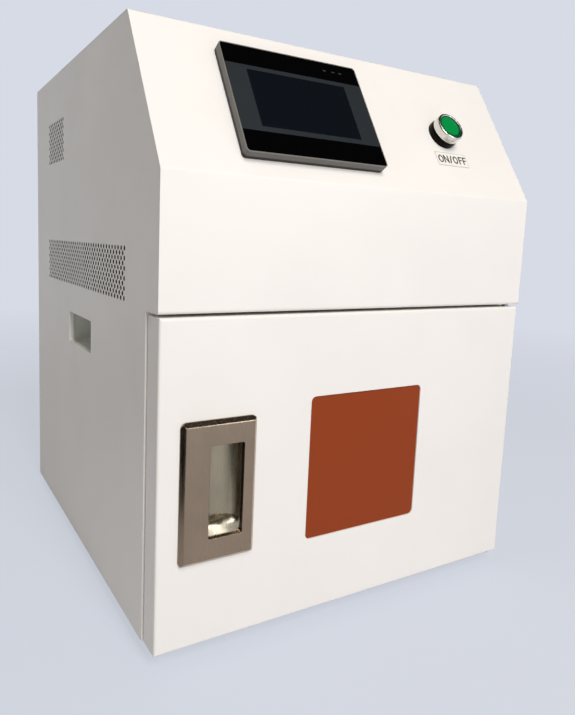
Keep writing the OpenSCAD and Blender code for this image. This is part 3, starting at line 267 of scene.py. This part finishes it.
def second_colour(tree, shader, where, dark):
    """Puts a second colour over the first where the mask is 1. Sockets 6, 7 and 2 of the mix
    are its two colours and their mixture."""
    first = shader.inputs["Base Color"].links[0].from_socket
    mixed = add(tree, "ShaderNodeMix", {"data_type": "RGBA"}, {"Factor": where, 6: first, 7: dark})
    tree.links.new(mixed.outputs[2], shader.inputs["Base Color"])


def relief(tree, shader, value, height_mm, edge_mm=0.0):
    """Raises the surface by a pattern, over edges that look eased by edge_mm."""
    inputs = {"Height": value, "Distance": height_mm * MM, "Strength": 1.0}
    if edge_mm:
        eased = add(tree, "ShaderNodeBevel", {"samples": 4}, {"Radius": edge_mm * MM})
        inputs["Normal"] = eased.outputs["Normal"]
    bump = add(tree, "ShaderNodeBump", None, inputs)
    tree.links.new(bump.outputs["Normal"], shader.inputs["Normal"])


def shade(colour, factor):
    """The same colour, lighter or darker."""
    return (*[min(1.0, c * factor) for c in colour[:3]], 1.0)


def powder_coat(colour):
    """Polyester powder coat, sprayed and baked: satin, with a faint orange peel. The real
    peel is about 1.5 mm across; it is drawn 2.5 mm across so that it shows."""
    material, tree, shader, place = new_finish("white_powder_coat", colour, 0.42, IOR=1.5)
    tint(tree, shader, grain(tree, place, 90), shade(colour, 0.985), shade(colour, 1.01))
    uneven_sheen(tree, shader, grain(tree, place, 14), 0.38, 0.47)
    relief(tree, shader, grain(tree, place, 2.5), 0.012, 0.5)
    # the walls of the grilles' holes get painted shade, near black
    painted_hole_shade(tree, shader, place, shade(colour, 0.07))
    return material


def painted_hole_shade(tree, shader, place, dark):
    """Painted shade on the walls of the grilles' holes: they are coloured near black for the shade
    inside them. They are all that lies strictly inside the side sheets, in the grilles' heights."""
    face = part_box("right_side_panel")[1].x / MM
    spot = add(tree, "ShaderNodeSeparateXYZ", None, {0: place}).outputs
    away = add(tree, "ShaderNodeMath", {"operation": "ABSOLUTE"}, {0: spot["X"]}).outputs[0]
    walls = 1.0
    for value, centre, reach in ((away, face - WALLS_IN[0], WALLS_IN[1]),
                                 (spot["Y"], *WALLS_BACK), (spot["Z"], *WALLS_UP)):
        near = add(tree, "ShaderNodeMath", {"operation": "COMPARE"}, {
            0: value, 1: centre * MM, 2: reach * MM}).outputs[0]
        walls = add(tree, "ShaderNodeMath", {"operation": "MULTIPLY"}, {
            0: near, 1: walls}).outputs[0]
    # painted shade: the holes' walls take the near-black colour
    second_colour(tree, shader, walls, dark)


def moulded(name, colour, roughness, grain_mm=0.8, depth_mm=0.02, edge_mm=0.3, **sockets):
    """Injection-moulded plastic in a spark-eroded mould: an even, soft sheen over a fine grain."""
    material, tree, shader, place = new_finish(name, colour, roughness, IOR=1.49, **sockets)
    tint(tree, shader, grain(tree, place, 30), shade(colour, 0.95), shade(colour, 1.05))
    uneven_sheen(tree, shader, grain(tree, place, 9), roughness - 0.05, roughness + 0.05)
    relief(tree, shader, grain(tree, place, grain_mm, 3.0), depth_mm, edge_mm)
    return material


def bezel(colour):
    """Moulded and painted grey, with a fine grain; a painted highlight makes the rim beside the
    film paler, and painted shade makes the foot near black."""
    material = moulded("grey_bezel", colour, 0.45, 0.9, 0.012, edge_mm=0.9)
    tree = material.node_tree
    place = add(tree, "ShaderNodeTexCoord").outputs["Object"]
    rise = add(tree, "ShaderNodeVectorMath", {"operation": "DOT_PRODUCT"}, {
        0: place, 1: tuple(map(float, OUT))}).outputs["Value"]
    # painted shade on the foot, then a painted highlight on the rim beside the film
    for operation, drop, other in (("LESS_THAN", BEZEL_SHADE_FOOT, "#0d0d0e"),
                                   ("GREATER_THAN", BEZEL_HIGHLIGHT_RIM, "#817e78")):
        band = add(tree, "ShaderNodeMath", {"operation": operation}, {
            0: rise, 1: float(FILM_FACE @ OUT) - drop * MM}).outputs[0]
        second_colour(tree, tree.nodes["Principled BSDF"], band, linear(other))
    return material


def metal(name, colour, roughness, grain_mm, stretch, depth_mm, edge_mm=0.2):
    """Bare or plated metal, brushed, rolled or drawn: fine lines along one way, which spread the
    reflections across it. Real lines are about 0.1 mm apart; they are drawn grain_mm apart so
    that they show."""
    material, tree, shader, place = new_finish(name, colour, roughness, metallic=1.0)
    tint(tree, shader, grain(tree, place, 25), shade(colour, 0.94), shade(colour, 1.04))
    lines = grain(tree, place, grain_mm, 3.0, stretch)
    uneven_sheen(tree, shader, lines, roughness - 0.06, roughness + 0.07)
    relief(tree, shader, lines, depth_mm, edge_mm)
    return material


def turned(name, colour, roughness, centre, pitch_mm=1.2):
    """Metal faced on a lathe: fine rings about the centre, a noise of the distance from it.
    Real tool marks are 0.2 mm apart; they are drawn 1.2 mm apart so that they show."""
    material, tree, shader, place = new_finish(name, colour, roughness, metallic=1.0)
    away = from_axis(tree, place, centre, (0, 0, 1))
    rings = add(tree, "ShaderNodeTexNoise", {"noise_dimensions": "1D"}, {
        "W": away, "Scale": 1 / (pitch_mm * MM), "Detail": 2.0}).outputs["Fac"]
    tint(tree, shader, rings, shade(colour, 0.93), shade(colour, 1.04))
    uneven_sheen(tree, shader, rings, roughness - 0.05, roughness + 0.08)
    relief(tree, shader, rings, 0.01, 0.2)
    return material


def glossy(name, colour, roughness, **sockets):
    """A smooth film or cast sheet: nearly flat, with a slight haze that varies."""
    material, tree, shader, place = new_finish(name, colour, roughness, IOR=1.49, **sockets)
    uneven_sheen(tree, shader, grain(tree, place, 35), roughness * 0.85, roughness * 1.2)
    relief(tree, shader, grain(tree, place, 6), 0.002)
    return material


def cover_glass(colour):
    """Borosilicate plate, cut and edge-ground: clear, faintly green."""
    material, tree, shader, place = new_finish(
        "clear_glass", colour, 0.02, IOR=1.47, transmission_weight=1.0)
    uneven_sheen(tree, shader, grain(tree, place, 40), 0.01, 0.05)
    relief(tree, shader, grain(tree, place, 30), 0.002)
    return material


def zinc(name, colour, roughness):
    """Zinc plate on mild steel: pale, with cloudy crystals a few millimetres across."""
    material, tree, shader, place = new_finish(name, colour, roughness, metallic=1.0)
    cells = add(tree, "ShaderNodeTexVoronoi", None, {"Vector": place, "Scale": 1 / (7 * MM)})
    cloud = add(tree, "ShaderNodeMix", {"data_type": "FLOAT"}, {
        "Factor": 0.5, 2: grain(tree, place, 10), 3: cells.outputs["Distance"]}).outputs["Result"]
    tint(tree, shader, cloud, shade(colour, 0.88), shade(colour, 1.05))
    uneven_sheen(tree, shader, cloud, roughness - 0.08, roughness + 0.1)
    relief(tree, shader, grain(tree, place, 1.5), 0.004, 0.3)
    return material


def circuit_board(name, colour, track_mm):
    """Solder mask over etched tracks, which show as slightly raised, lighter lines."""
    material, tree, shader, place = new_finish(name, colour, 0.35, IOR=1.5)
    moved = add(tree, "ShaderNodeMapping", None, {"Vector": place, "Scale": (1, 1, 0.001)})
    layout = {"offset": 0.37, "squash": 1.7, "squash_frequency": 3}
    tracks = add(tree, "ShaderNodeTexBrick", layout, {
        "Vector": moved.outputs["Vector"], "Scale": 1 / (track_mm * MM * 4),
        "Color1": shade(colour, 0.9), "Color2": colour, "Mortar": shade(colour, 1.35),
        "Mortar Size": 0.05})
    tree.links.new(tracks.outputs["Color"], shader.inputs["Base Color"])
    relief(tree, shader, tracks.outputs["Fac"], 0.03, 0.2)
    return material


def green_lens(colour):
    """Translucent polycarbonate, moulded: the light goes a little way in, and painted shade darkens
    its edge.
    """
    material, tree, shader, place = new_finish(
        "green_lens", colour, 0.3, IOR=1.58, subsurface_weight=0.2, subsurface_scale=0.003,
        specular_ior_level=0.04)
    shader.inputs["Subsurface Radius"].default_value = (0.2, 1.0, 0.4)
    cloud = add(tree, "ShaderNodeMapRange", None, {
        "Value": grain(tree, place, 5), "From Min": 0.3, "From Max": 0.7,
        "To Min": 0.0, "To Max": 0.12})
    # painted shade: the lens turns darker towards its rim
    body = add(tree, "ShaderNodeMapRange", None, {
        "Value": from_axis(tree, place, middle("button_cap"), OUT),
        "From Min": LENS_SHADE_RIM[0] * MM, "From Max": LENS_SHADE_RIM[1] * MM, "To Min": 1.0, "To Max": 0.0})
    pale = add(tree, "ShaderNodeMath", {"operation": "SUBTRACT"}, {
        0: body.outputs["Result"], 1: cloud.outputs["Result"]}).outputs[0]
    tint(tree, shader, pale, shade(colour, 0.3), colour)
    relief(tree, shader, grain(tree, place, 1.2), 0.006, 0.2)
    return material


def rubber(colour):
    """Black rubber, pressed: matt and slightly dusty."""
    material, tree, shader, place = new_finish("black_rubber", colour, 0.75, IOR=1.5)
    tint(tree, shader, grain(tree, place, 12), shade(colour, 0.85), shade(colour, 1.25))
    relief(tree, shader, grain(tree, place, 0.9, 4.0), 0.03, 0.4)
    return material


def make_finishes(s):
    """Every material slot of the record, from the colours in the settings."""
    table_centre = middle("turntable_plate")
    along_x, along_y, along_z = (0.02, 1, 1), (1, 0.05, 1), (1, 1, 0.1)
    return {
        # Sheets, screws and mouldings of the cabinet
        "white_powder_coat": powder_coat((*s.paint, 1)),
        "zinc_sheet": zinc("zinc_sheet", linear("#b9bab6"), 0.42),
        "zinc_screws": zinc("zinc_screws", linear("#c6c6c0"), 0.3),
        "grey_moulding": moulded("grey_moulding", (*s.pocket, 1), 0.6, 1.2, 0.03),
        "black_rubber": rubber(linear("#1c1d1e")),
        "black_moulding": moulded("black_moulding", linear("#1b1c1d"), 0.5),
        "white_moulding": moulded("white_moulding", linear("#dcdcd7"), 0.42),
        # Brushed stainless lining: a soft, streaked mirror
        "stainless_lining": metal(
            "stainless_lining", linear("#c4c6c8"), 0.3, 1.0, along_x, 0.006),
        # Turntable and its drive: rings from the lathe, drawn steel, waxy nylon
        "turned_aluminium": turned("turned_aluminium", linear("#d3d6d8"), 0.27, table_centre),
        "turned_steel": metal("turned_steel", linear("#b9bbbd"), 0.28, 0.8, along_z, 0.004),
        "natural_nylon": moulded(
            "natural_nylon", linear("#e6e0cf"), 0.45, 1.5, 0.01, subsurface_weight=0.1),
        "motor_can": metal("motor_can", linear("#a9acae"), 0.35, 1.2, along_z, 0.004),
        # Lamp: clear plate, white solder mask, glossy yellowish emitters, anodised black fins
        "clear_glass": cover_glass(linear("#f0f8f6")),
        "white_board": circuit_board("white_board", linear("#e9ebe8"), 2.5),
        "led_packages": glossy("led_packages", linear("#dcd3a6"), 0.15, coat_weight=0.5),
        "black_heatsink": metal(
            "black_heatsink", linear("#232426"), 0.45, 1.0, (0.03, 1, 1), 0.01),
        # Window of coloured cast acrylic: flat, with a blurred reflection
        "amber_acrylic": glossy(
            "amber_acrylic", (*s.window, 1), 0.35, specular_ior_level=0.12),
        # Pull: brushed upright under satin nickel plate, with a brighter plated hollow
        "satin_nickel": metal(
            "satin_nickel", (*s.pull, 1), 0.22, 0.9, (1, 1, 0.03), 0.002, 0.8),
        "polished_nickel": metal(
            "polished_nickel", linear("#a89f8b"), 0.24, 3.0, (1, 1, 0.05), 0.002),
        "magnet_black": moulded("magnet_black", linear("#2a2b2c"), 0.4),
        # Touch panel: painted bezel, gloss black film, darker and bluer glass, grey print
        "grey_bezel": bezel(linear("#676460")),
        "black_overlay": glossy(
            "black_overlay", linear("#040405"), 0.12, specular_ior_level=0.08),
        "lcd_glass": glossy("lcd_glass", linear("#0e1218"), 0.1, specular_ior_level=0.08),
        "film_grey": glossy("film_grey", linear("#2c3135"), 0.16, specular_ior_level=0.08),
        "mark_ink": moulded("mark_ink", linear("#3a3c3e"), 0.5, 1.0, 0.004),
        # Button: matt black collar, bright chromed ring, green lens that glows a little inside
        "black_bezel": moulded(
            "black_bezel", linear("#070707"), 0.4, 0.9, 0.012, specular_ior_level=0.08),
        "chromed_ring": metal(
            "chromed_ring", linear("#e0ded7"), 0.22, 1.0, (1, 1, 1), 0.002, 0.3),
        "green_lens": green_lens((*s.lens, 1)),
        # Plate under the button: bare edge, white face, printed brown-grey ink
        "label_edge": moulded("label_edge", linear("#d2cdc6"), 0.5, 1.0, 0.004),
        "label_white": moulded("label_white", linear("#f2efea"), 0.5, 1.0, 0.004),
        "label_ink": moulded("label_ink", linear("#57504a"), 0.6, 1.0, 0.004),
        # Electronics: drawn aluminium cans and green solder mask
        "aluminium_case": metal(
            "aluminium_case", linear("#aeb2b4"), 0.38, 1.0, along_y, 0.006),
        "circuit_board": circuit_board("circuit_board", linear("#1d6b3e"), 1.6),
    }


FINISHES = {}


# Settings that a user would change

class FinishSettings(bpy.types.PropertyGroup):
    """Colours of the unit's finishes."""
    paint: bpy.props.FloatVectorProperty(
        name="Paint", description="Powder coat of the cabinet and door", subtype="COLOR",
        default=linear("#f6f3ef")[:3], min=0, max=1)
    window: bpy.props.FloatVectorProperty(
        name="Window", description="Light-blocking acrylic of the window", subtype="COLOR",
        default=linear("#933f1b")[:3], min=0, max=1)
    pull: bpy.props.FloatVectorProperty(
        name="Pull", description="Satin nickel plate of the flush pull", subtype="COLOR",
        default=linear("#a08f7c")[:3], min=0, max=1)
    lens: bpy.props.FloatVectorProperty(
        name="Lens", description="Green lens of the power button", subtype="COLOR",
        default=linear("#048b42")[:3], min=0, max=1)
    pocket: bpy.props.FloatVectorProperty(
        name="Grip pocket", description="Moulded pocket behind each carry grip", subtype="COLOR",
        default=linear("#dcdfd8")[:3], min=0, max=1)


class PrintSettings(bpy.types.PropertyGroup):
    """Sizes of the printing on the slope and of the pull's hollow, in millimetres."""
    band_height: bpy.props.FloatProperty(
        name="Band height",
        description="Height of the grey band across the touch panel, in millimetres",
        default=63.7, min=40, max=80)
    area_width: bpy.props.FloatProperty(
        name="Screen width", description="Width of the active area, in millimetres",
        default=95.6, min=60, max=110)
    area_height: bpy.props.FloatProperty(
        name="Screen height", description="Height of the active area, in millimetres",
        default=55.0, min=40, max=66)
    hollow_floor: bpy.props.FloatProperty(
        name="Hollow floor",
        description="Height over which the floor of the pull's hollow slopes back, in millimetres",
        default=11.5, min=6, max=40)
    label_width: bpy.props.FloatProperty(
        name="Label width", description="Width of the plate under the button, in millimetres",
        default=39.5, min=20, max=60)
    label_height: bpy.props.FloatProperty(
        name="Label height", description="Height of the plate under the button, in millimetres",
        default=15.0, min=8, max=20)


class StudioSettings(bpy.types.PropertyGroup):
    """Light and backdrop."""
    key: bpy.props.FloatProperty(
        name="Key light", description="Power of the large soft light, in watts",
        default=34.0, min=0, unit="POWER")
    surround: bpy.props.FloatProperty(
        name="Surround", description="Level of the light from all round",
        default=0.335, min=0, max=2)
    backdrop: bpy.props.FloatVectorProperty(
        name="Backdrop", description="Colour behind the unit", subtype="COLOR",
        default=linear("#d6dbe6")[:3], min=0, max=1)
    floor_lift: bpy.props.FloatProperty(
        name="Floor lift", description="How much the backdrop's own light hides the floor's shade",
        default=0.75, min=0, max=1)
    floor: bpy.props.FloatVectorProperty(
        name="Floor", description="Colour of the floor", subtype="COLOR",
        default=linear("#d9dde6")[:3], min=0, max=1)


# Operators

class SetUpCamera(bpy.types.Operator):
    """Places the camera where the photograph was taken from"""
    bl_idname = "curing_unit.camera"
    bl_label = "Camera"

    def execute(self, context):
        # axes, lens, shift and place were fitted to the corners of the cabinet and the door
        right = np.array([0.869277, -0.493057, 0.035402])
        up = np.array([0.032279, 0.128082, 0.991238])
        back = np.cross(right, up)
        data = bpy.data.cameras.new("photo_camera")
        data.sensor_width = 36
        data.lens = 31.31
        data.shift_x = 0.05203
        data.shift_y = -0.05359
        data.clip_start = 0.01
        camera = bpy.data.objects.new("photo_camera", data)
        matrix = np.eye(4)
        matrix[:3, :3] = np.column_stack([right, up, back])
        matrix[:3, 3] = [-0.34705, -0.60865, 0.32569]
        camera.matrix_world = Matrix(matrix.tolist())
        context.scene.collection.objects.link(camera)
        context.scene.camera = camera
        return {"FINISHED"}


class SetUpStudio(bpy.types.Operator):
    """Lays a pale floor that fades into the backdrop, and lights the unit softly"""
    bl_idname = "curing_unit.studio"
    bl_label = "Studio"

    def execute(self, context):
        s = context.scene.curing_studio
        context.scene.view_settings.view_transform = "Standard"
        self.lay_floor(context, s)
        self.light_world(context, s)
        self.hang_lamp(context, "key_light", (-0.2, -1.78, 1.6), (0.6, 1.4), s.key,
                       linear("#fffdfb"))
        # a photographer's cards: only mirrors see them, so that rims and hollows turn dark and
        # edges light
        self.hang_card(context, "left_card", (-0.42, -0.5, 0.6), (0.8, 0.6), (1, 0, 0))
        self.hang_card(context, "top_card", (0.75, -0.6, 1.35), (1.2, 1.1), (0, 0, -1))
        self.hang_card(context, "white_card", (0.86, -1.75, 0.95), (0.6, 0.35), (-1, 0, 0), 6.0)
        return {"FINISHED"}

    def hang_card(self, context, name, place, half, facing_way, glow=0.0):
        """A flat card in metres, black or, with a glow, white: its corners lie half its sizes
        either side of its middle."""
        out = np.array(facing_way, float)
        side = np.array([0.0, 1.0, 0.0])
        across = np.cross(out, side)
        corners = [np.array(place) + a * half[0] * side + b * half[1] * across
                   for a, b in ((-1, -1), (1, -1), (1, 1), (-1, 1))]
        mesh = bpy.data.meshes.new(name)
        mesh.from_pydata([tuple(map(float, c)) for c in corners], [], [(0, 1, 2, 3)])
        card = bpy.data.objects.new(name, mesh)
        context.scene.collection.objects.link(card)
        for ray in ("camera", "diffuse", "transmission", "volume_scatter", "shadow"):
            setattr(card, "visible_" + ray, False)
        paper = new_finish(name, linear("#060606"), 0.9, emission_color=linear("#ffffff"),
                           emission_strength=glow)[0]
        mesh.materials.append(paper)

    def lay_floor(self, context, s):
        """Disc of radius 5 m: point (r cos t, r sin t, 0) on rings of growing radius."""
        t = np.linspace(0, 2 * math.pi, 64, endpoint=False)
        radii = np.array([0.02, 0.5, 1.0, 2.0, 3.5, 5.0])
        points = np.stack([radii[:, None] * np.cos(t), radii[:, None] * np.sin(t),
                           np.zeros((len(radii), len(t)))], axis=-1).reshape(-1, 3)
        faces = grid_faces(len(radii), len(t))[:, ::-1].tolist() + [list(range(len(t)))]
        mesh = bpy.data.meshes.new("floor")
        mesh.from_pydata(points.tolist(), [], faces)
        floor = bpy.data.objects.new("floor", mesh)
        context.scene.collection.objects.link(floor)
        material, tree, shader, place = new_finish("floor_paper", (*s.floor, 1), 0.9)
        relief(tree, shader, grain(tree, place, 6), 0.02)
        away = add(tree, "ShaderNodeVectorMath", {"operation": "LENGTH"}, {0: place})
        # the paper fades out between 0.7 and 2.2 m from the unit
        fade = add(tree, "ShaderNodeMapRange", None, {
            "Value": away.outputs["Value"], "From Min": 0.7, "From Max": 2.2,
            "To Min": 0.0, "To Max": 1.0}).outputs["Result"]
        clear = add(tree, "ShaderNodeBsdfTransparent")
        glow = add(tree, "ShaderNodeEmission", None, {"Color": (*s.backdrop, 1), "Strength": 1.0})
        lift = add(tree, "ShaderNodeMath", {"operation": "MULTIPLY"}, {
            0: add(tree, "ShaderNodeLightPath").outputs["Is Camera Ray"], 1: s.floor_lift})
        lit = add(tree, "ShaderNodeMixShader", None, {
            0: lift.outputs[0], 1: shader.outputs["BSDF"], 2: glow.outputs[0]})
        mixed = add(tree, "ShaderNodeMixShader", None, {
            0: fade, 1: lit.outputs[0], 2: clear.outputs["BSDF"]})
        tree.links.new(mixed.outputs["Shader"], tree.nodes["Material Output"].inputs["Surface"])
        mesh.materials.append(material)

    def light_world(self, context, s):
        """Plain surround: the camera, mirrors and glass see the backdrop, the rest a dimmer sky."""
        world = bpy.data.worlds.new("studio")
        context.scene.world = world
        world.use_nodes = True
        tree = world.node_tree
        sky = tree.nodes["Background"]
        sky.inputs["Color"].default_value = linear("#fbf4ea")
        sky.inputs["Strength"].default_value = s.surround
        seen = add(tree, "ShaderNodeBackground", None, {"Color": (*s.backdrop, 1), "Strength": 1.0})
        rays = add(tree, "ShaderNodeLightPath")
        glass = add(tree, "ShaderNodeMath", {"operation": "MAXIMUM"}, {
            0: rays.outputs["Is Glossy Ray"], 1: rays.outputs["Is Transmission Ray"]})
        any_seen = add(tree, "ShaderNodeMath", {"operation": "MAXIMUM"}, {
            0: rays.outputs["Is Camera Ray"], 1: glass.outputs[0]})
        mixed = add(tree, "ShaderNodeMixShader", None, {
            0: any_seen.outputs[0], 1: sky.outputs[0], 2: seen.outputs[0]})
        tree.links.new(mixed.outputs["Shader"], tree.nodes["World Output"].inputs["Surface"])

    def hang_lamp(self, context, name, place, size, power, colour):
        """A soft box, size wide and tall, that faces the middle of the unit."""
        data = bpy.data.lights.new(name, "AREA")
        data.shape = "RECTANGLE"
        data.size, data.size_y = size
        data.energy = power
        data.color = colour[:3]
        lamp = bpy.data.objects.new(name, data)
        back = np.array(place) - np.array([0, 0, 0.25])
        back /= np.linalg.norm(back)
        side = np.cross([0, 0, 1], back)
        side /= np.linalg.norm(side)
        matrix = np.eye(4)
        matrix[:3, :3] = np.column_stack([side, np.cross(back, side), back])
        matrix[:3, 3] = place
        lamp.matrix_world = Matrix(matrix.tolist())
        context.scene.collection.objects.link(lamp)


class FinishSolids(bpy.types.Operator):
    """Gives every solid of the unit its finish"""
    bl_idname = "curing_unit.solids"
    bl_label = "Solids"

    def execute(self, context):
        FINISHES.update(make_finishes(context.scene.curing_finish))
        for part in frame["record"]["subparts"]:
            solid = frame["nodes"][part["node"]]
            solid.data.materials.clear()
            solid.data.materials.append(FINISHES[part["material_slot"]])
        return {"FINISHED"}


class DrawPullHollow(bpy.types.Operator):
    """Puts the drawn hollow, with its sloping floor, in place of the pull's plain one"""
    bl_idname = "curing_unit.pull_hollow"
    bl_label = "Pull hollow"

    def execute(self, context):
        low, high = (np.array(corner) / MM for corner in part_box("handle_cup"))
        wall, floor = 1.2, context.scene.curing_print.hollow_floor
        half, deep = (high[0] - low[0]) / 2, high[1] - low[1]
        # circle through the section's two edges and its deepest point
        radius = (half ** 2 + deep ** 2) / (2 * deep)
        x, arc = self.section(radius - wall, deep - radius, 56)
        bottom, top = low[2] + wall, high[2] - wall
        # heights lie close where the floor curves (to 4 mm over it) and in the top 8 mm
        z = np.concatenate([[low[2]], bottom + np.linspace(0, floor + 4, 36),
                            top - np.linspace(8, 0, 14), [high[2]]])
        depth = self.depth(arc[None, :], z[:, None], bottom, top, floor)
        ring_x = np.concatenate([x, x[::-1] * radius / (radius - wall)])
        ring_x = np.broadcast_to(ring_x, (len(z), 2 * len(x)))
        rows = np.stack([ring_x, np.hstack([depth, (depth + wall)[:, ::-1]]),
                         np.broadcast_to(z[:, None], ring_x.shape)], axis=-1)
        centre = np.array([(low[0] + high[0]) / 2, low[1], 0.0])
        piece = make_piece("pull_hollow", [(rows + centre) * MM], "door",
                           FINISHES["polished_nickel"])
        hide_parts("handle_cup")
        return {"FINISHED"}

    def section(self, radius, centre, n):
        """Round section: (r cos a, c + r sin a) from the door's face round to it again."""
        start = math.asin(-centre / radius)
        a = np.linspace(start, math.pi - start, n)
        return radius * np.cos(a), centre + radius * np.sin(a)

    def depth(self, arc, z, bottom, top, floor):
        """Depth under the door's face: the section's depth times a share that grows from 0 to 1
        over the floor's height, as 0.45 t + 0.55 t^6, or, near the top, 3 times the distance
        from the top, whichever is less, and never quite 0."""
        t = np.clip((z - bottom) / floor, 0, 1)
        share = smooth_least(0.45 * t + 0.55 * t ** 6, 1.0, 0.1)
        return np.maximum(smooth_least(arc * share, (top - z) * 3, 1.5), 0.05)


class PrintTouchPanel(bpy.types.Operator):
    """Lays the grey band, the dark active area and three status marks on the touch panel's film"""
    bl_idname = "curing_unit.touch_panel"
    bl_label = "Touch panel printing"

    def execute(self, context):
        s = context.scene.curing_print
        low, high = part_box("hmi_overlay")
        width = (high.x - low.x) / MM
        skin = [(0.0, 0.0), (0.0, 0.03), (0.03, 0.05)]
        make_piece("screen_band", [on_slope(
            plate_rows(width - 0.4, s.band_height, 0.4, skin), FILM_FACE)],
            "cabinet", FINISHES["film_grey"])
        make_piece("screen_area", [on_slope(
            plate_rows(s.area_width, s.area_height, 0.8, skin), FILM_FACE, u=0.2, out=0.05)],
            "cabinet", FINISHES["lcd_glass"])
        # three dashes near the upper right corner of the film
        marks = [on_slope(plate_rows(3.2, 0.9, 0.3, [(0, 0), (0, 0.04)]), FILM_FACE, x, 42.3)
                 for x in (31.8, 41.0, 48.5)]
        make_piece("status_marks", marks, "cabinet", FINISHES["mark_ink"])
        return {"FINISHED"}


class MakeLabel(bpy.types.Operator):
    """Fixes the plate under the button, with generic ON and OFF lettering"""
    bl_idname = "curing_unit.label"
    bl_label = "Button label"

    def execute(self, context):
        s = context.scene.curing_print
        # the plate's middle, across and up the slope from the button's axis
        x, u = 1.85, -27.1
        rim = [(0.0, 0.0), (0.0, 0.35), (0.25, 0.5)]
        make_piece("button_label", [on_slope(
            plate_rows(s.label_width, s.label_height, 1.0, rim), BUTTON_FOOT, x, u)],
            "cabinet", FINISHES["label_edge"])
        make_piece("label_face", [on_slope(
            plate_rows(s.label_width - 1.6, s.label_height - 1.6, 0.6, [(0, 0), (0.02, 0.04)]),
            BUTTON_FOOT, x, u, 0.5)], "cabinet", FINISHES["label_white"])
        ink = [on_slope(rows, BUTTON_FOOT, x, u, 0.54) for rows in self.letters(7.0, 1.5)]
        make_piece("label_lettering", ink, "cabinet", FINISHES["label_ink"],
                   smooth=False)
        return {"FINISHED"}

    def letters(self, tall, line):
        """ON / OFF as strokes, each letter tall high, in millimetres from the plate's middle:
        two ovals, then the strokes of the N and the slash, then those of the two Fs."""
        h, w, rise = tall / 2, 2.4, 0.06
        rows = [oval_rows((x, 0), w, h, line, rise) for x in (-14.4, 4.2)]
        n = -7.6
        rows += [stroke_rows(a, b, line, rise) for a, b in [
            ((n - w, -h), (n - w, h)), ((n - w, h), (n + w, -h)), ((n + w, -h), (n + w, h)),
            ((-2.8, -h), (-0.6, h))]]
        for x in (9.2, 14.6):
            rows += [stroke_rows(a, b, line, rise) for a, b in [
                ((x, -h), (x, h)), ((x, h), (x + 3.2, h)), ((x, 0.2), (x + 2.7, 0.2))]]
        return rows


class FitSmallScrews(bpy.types.Operator):
    """Adds the small screws of the inlet and the strike plates"""
    bl_idname = "curing_unit.screws"
    bl_label = "Small screws"

    def execute(self, context):
        # 20 mm either side of the inlet's middle, sunk in its flange
        inlet = middle("mains_inlet")
        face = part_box("mains_inlet")[1].y
        feet = [np.array([inlet[0] + s * 20 * MM, face - 1.5 * MM, inlet[2]]) for s in (-1, 1)]
        self.drive("inlet_screws", feet, 3.0, 1.4, "cabinet")
        # near both ends of each strike plate
        low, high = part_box("door_strike_plates")
        x = (low.x + high.x) / 2
        feet = [np.array([x, high.y - 1.1 * MM, z]) for z in (
            low.z + 3.5 * MM, low.z + 22.5 * MM, high.z - 3.5 * MM, high.z - 22.5 * MM)]
        self.drive("strike_screws", feet, 1.3, 1.0, "door")
        return {"FINISHED"}

    def drive(self, name, feet, radius, tall, body):
        """Stands one head on each foot, facing back."""
        heads = [facing(self.head(radius, tall), foot, (0, 1, 0), (1, 0, 0)) for foot in feet]
        make_piece(name, heads, body, FINISHES["zinc_screws"])

    def head(self, r, h):
        """Turned head with a recess: the profile runs up the rim, over and down into the recess,
        in shares of its radius r and its height h."""
        profile = [(0.5, 0), (0.9, 0.2), (1, 0.8), (0.92, 1), (0.5, 1), (0.42, 0.95),
                   (0.38, 0.45), (0.05, 0.4)]
        return turned_rows([(a * r, b * h) for a, b in profile], 24)


class CuringUnitPanel(bpy.types.Panel):
    """Lists the pieces that dress the curing unit"""
    bl_idname = "VIEW3D_PT_curing_unit"
    bl_label = "Curing unit"
    bl_space_type = "VIEW_3D"
    bl_region_type = "UI"
    bl_category = "Curing unit"

    def draw(self, context):
        for name, group in GROUPS.items():
            box = self.layout.box()
            for key in group.__annotations__:
                box.prop(getattr(context.scene, name), key)
        for operator in STEPS:
            self.layout.operator(operator.bl_idname)


STEPS = (SetUpCamera, SetUpStudio, FinishSolids, DrawPullHollow, PrintTouchPanel, MakeLabel,
         FitSmallScrews)
GROUPS = {"curing_finish": FinishSettings, "curing_print": PrintSettings,
          "curing_studio": StudioSettings}


def register():
    for cls in (*GROUPS.values(), *STEPS, CuringUnitPanel):
        bpy.utils.register_class(cls)
    for name, cls in GROUPS.items():
        setattr(bpy.types.Scene, name, bpy.props.PointerProperty(type=cls))


def unregister():
    for name in GROUPS:
        delattr(bpy.types.Scene, name)
    for cls in (CuringUnitPanel, *STEPS, *GROUPS.values()):
        bpy.utils.unregister_class(cls)


def main():
    register()
    for step in STEPS:
        group, name = step.bl_idname.split(".")
        getattr(getattr(bpy.ops, group), name)()


if __name__ == "__main__":
    main()
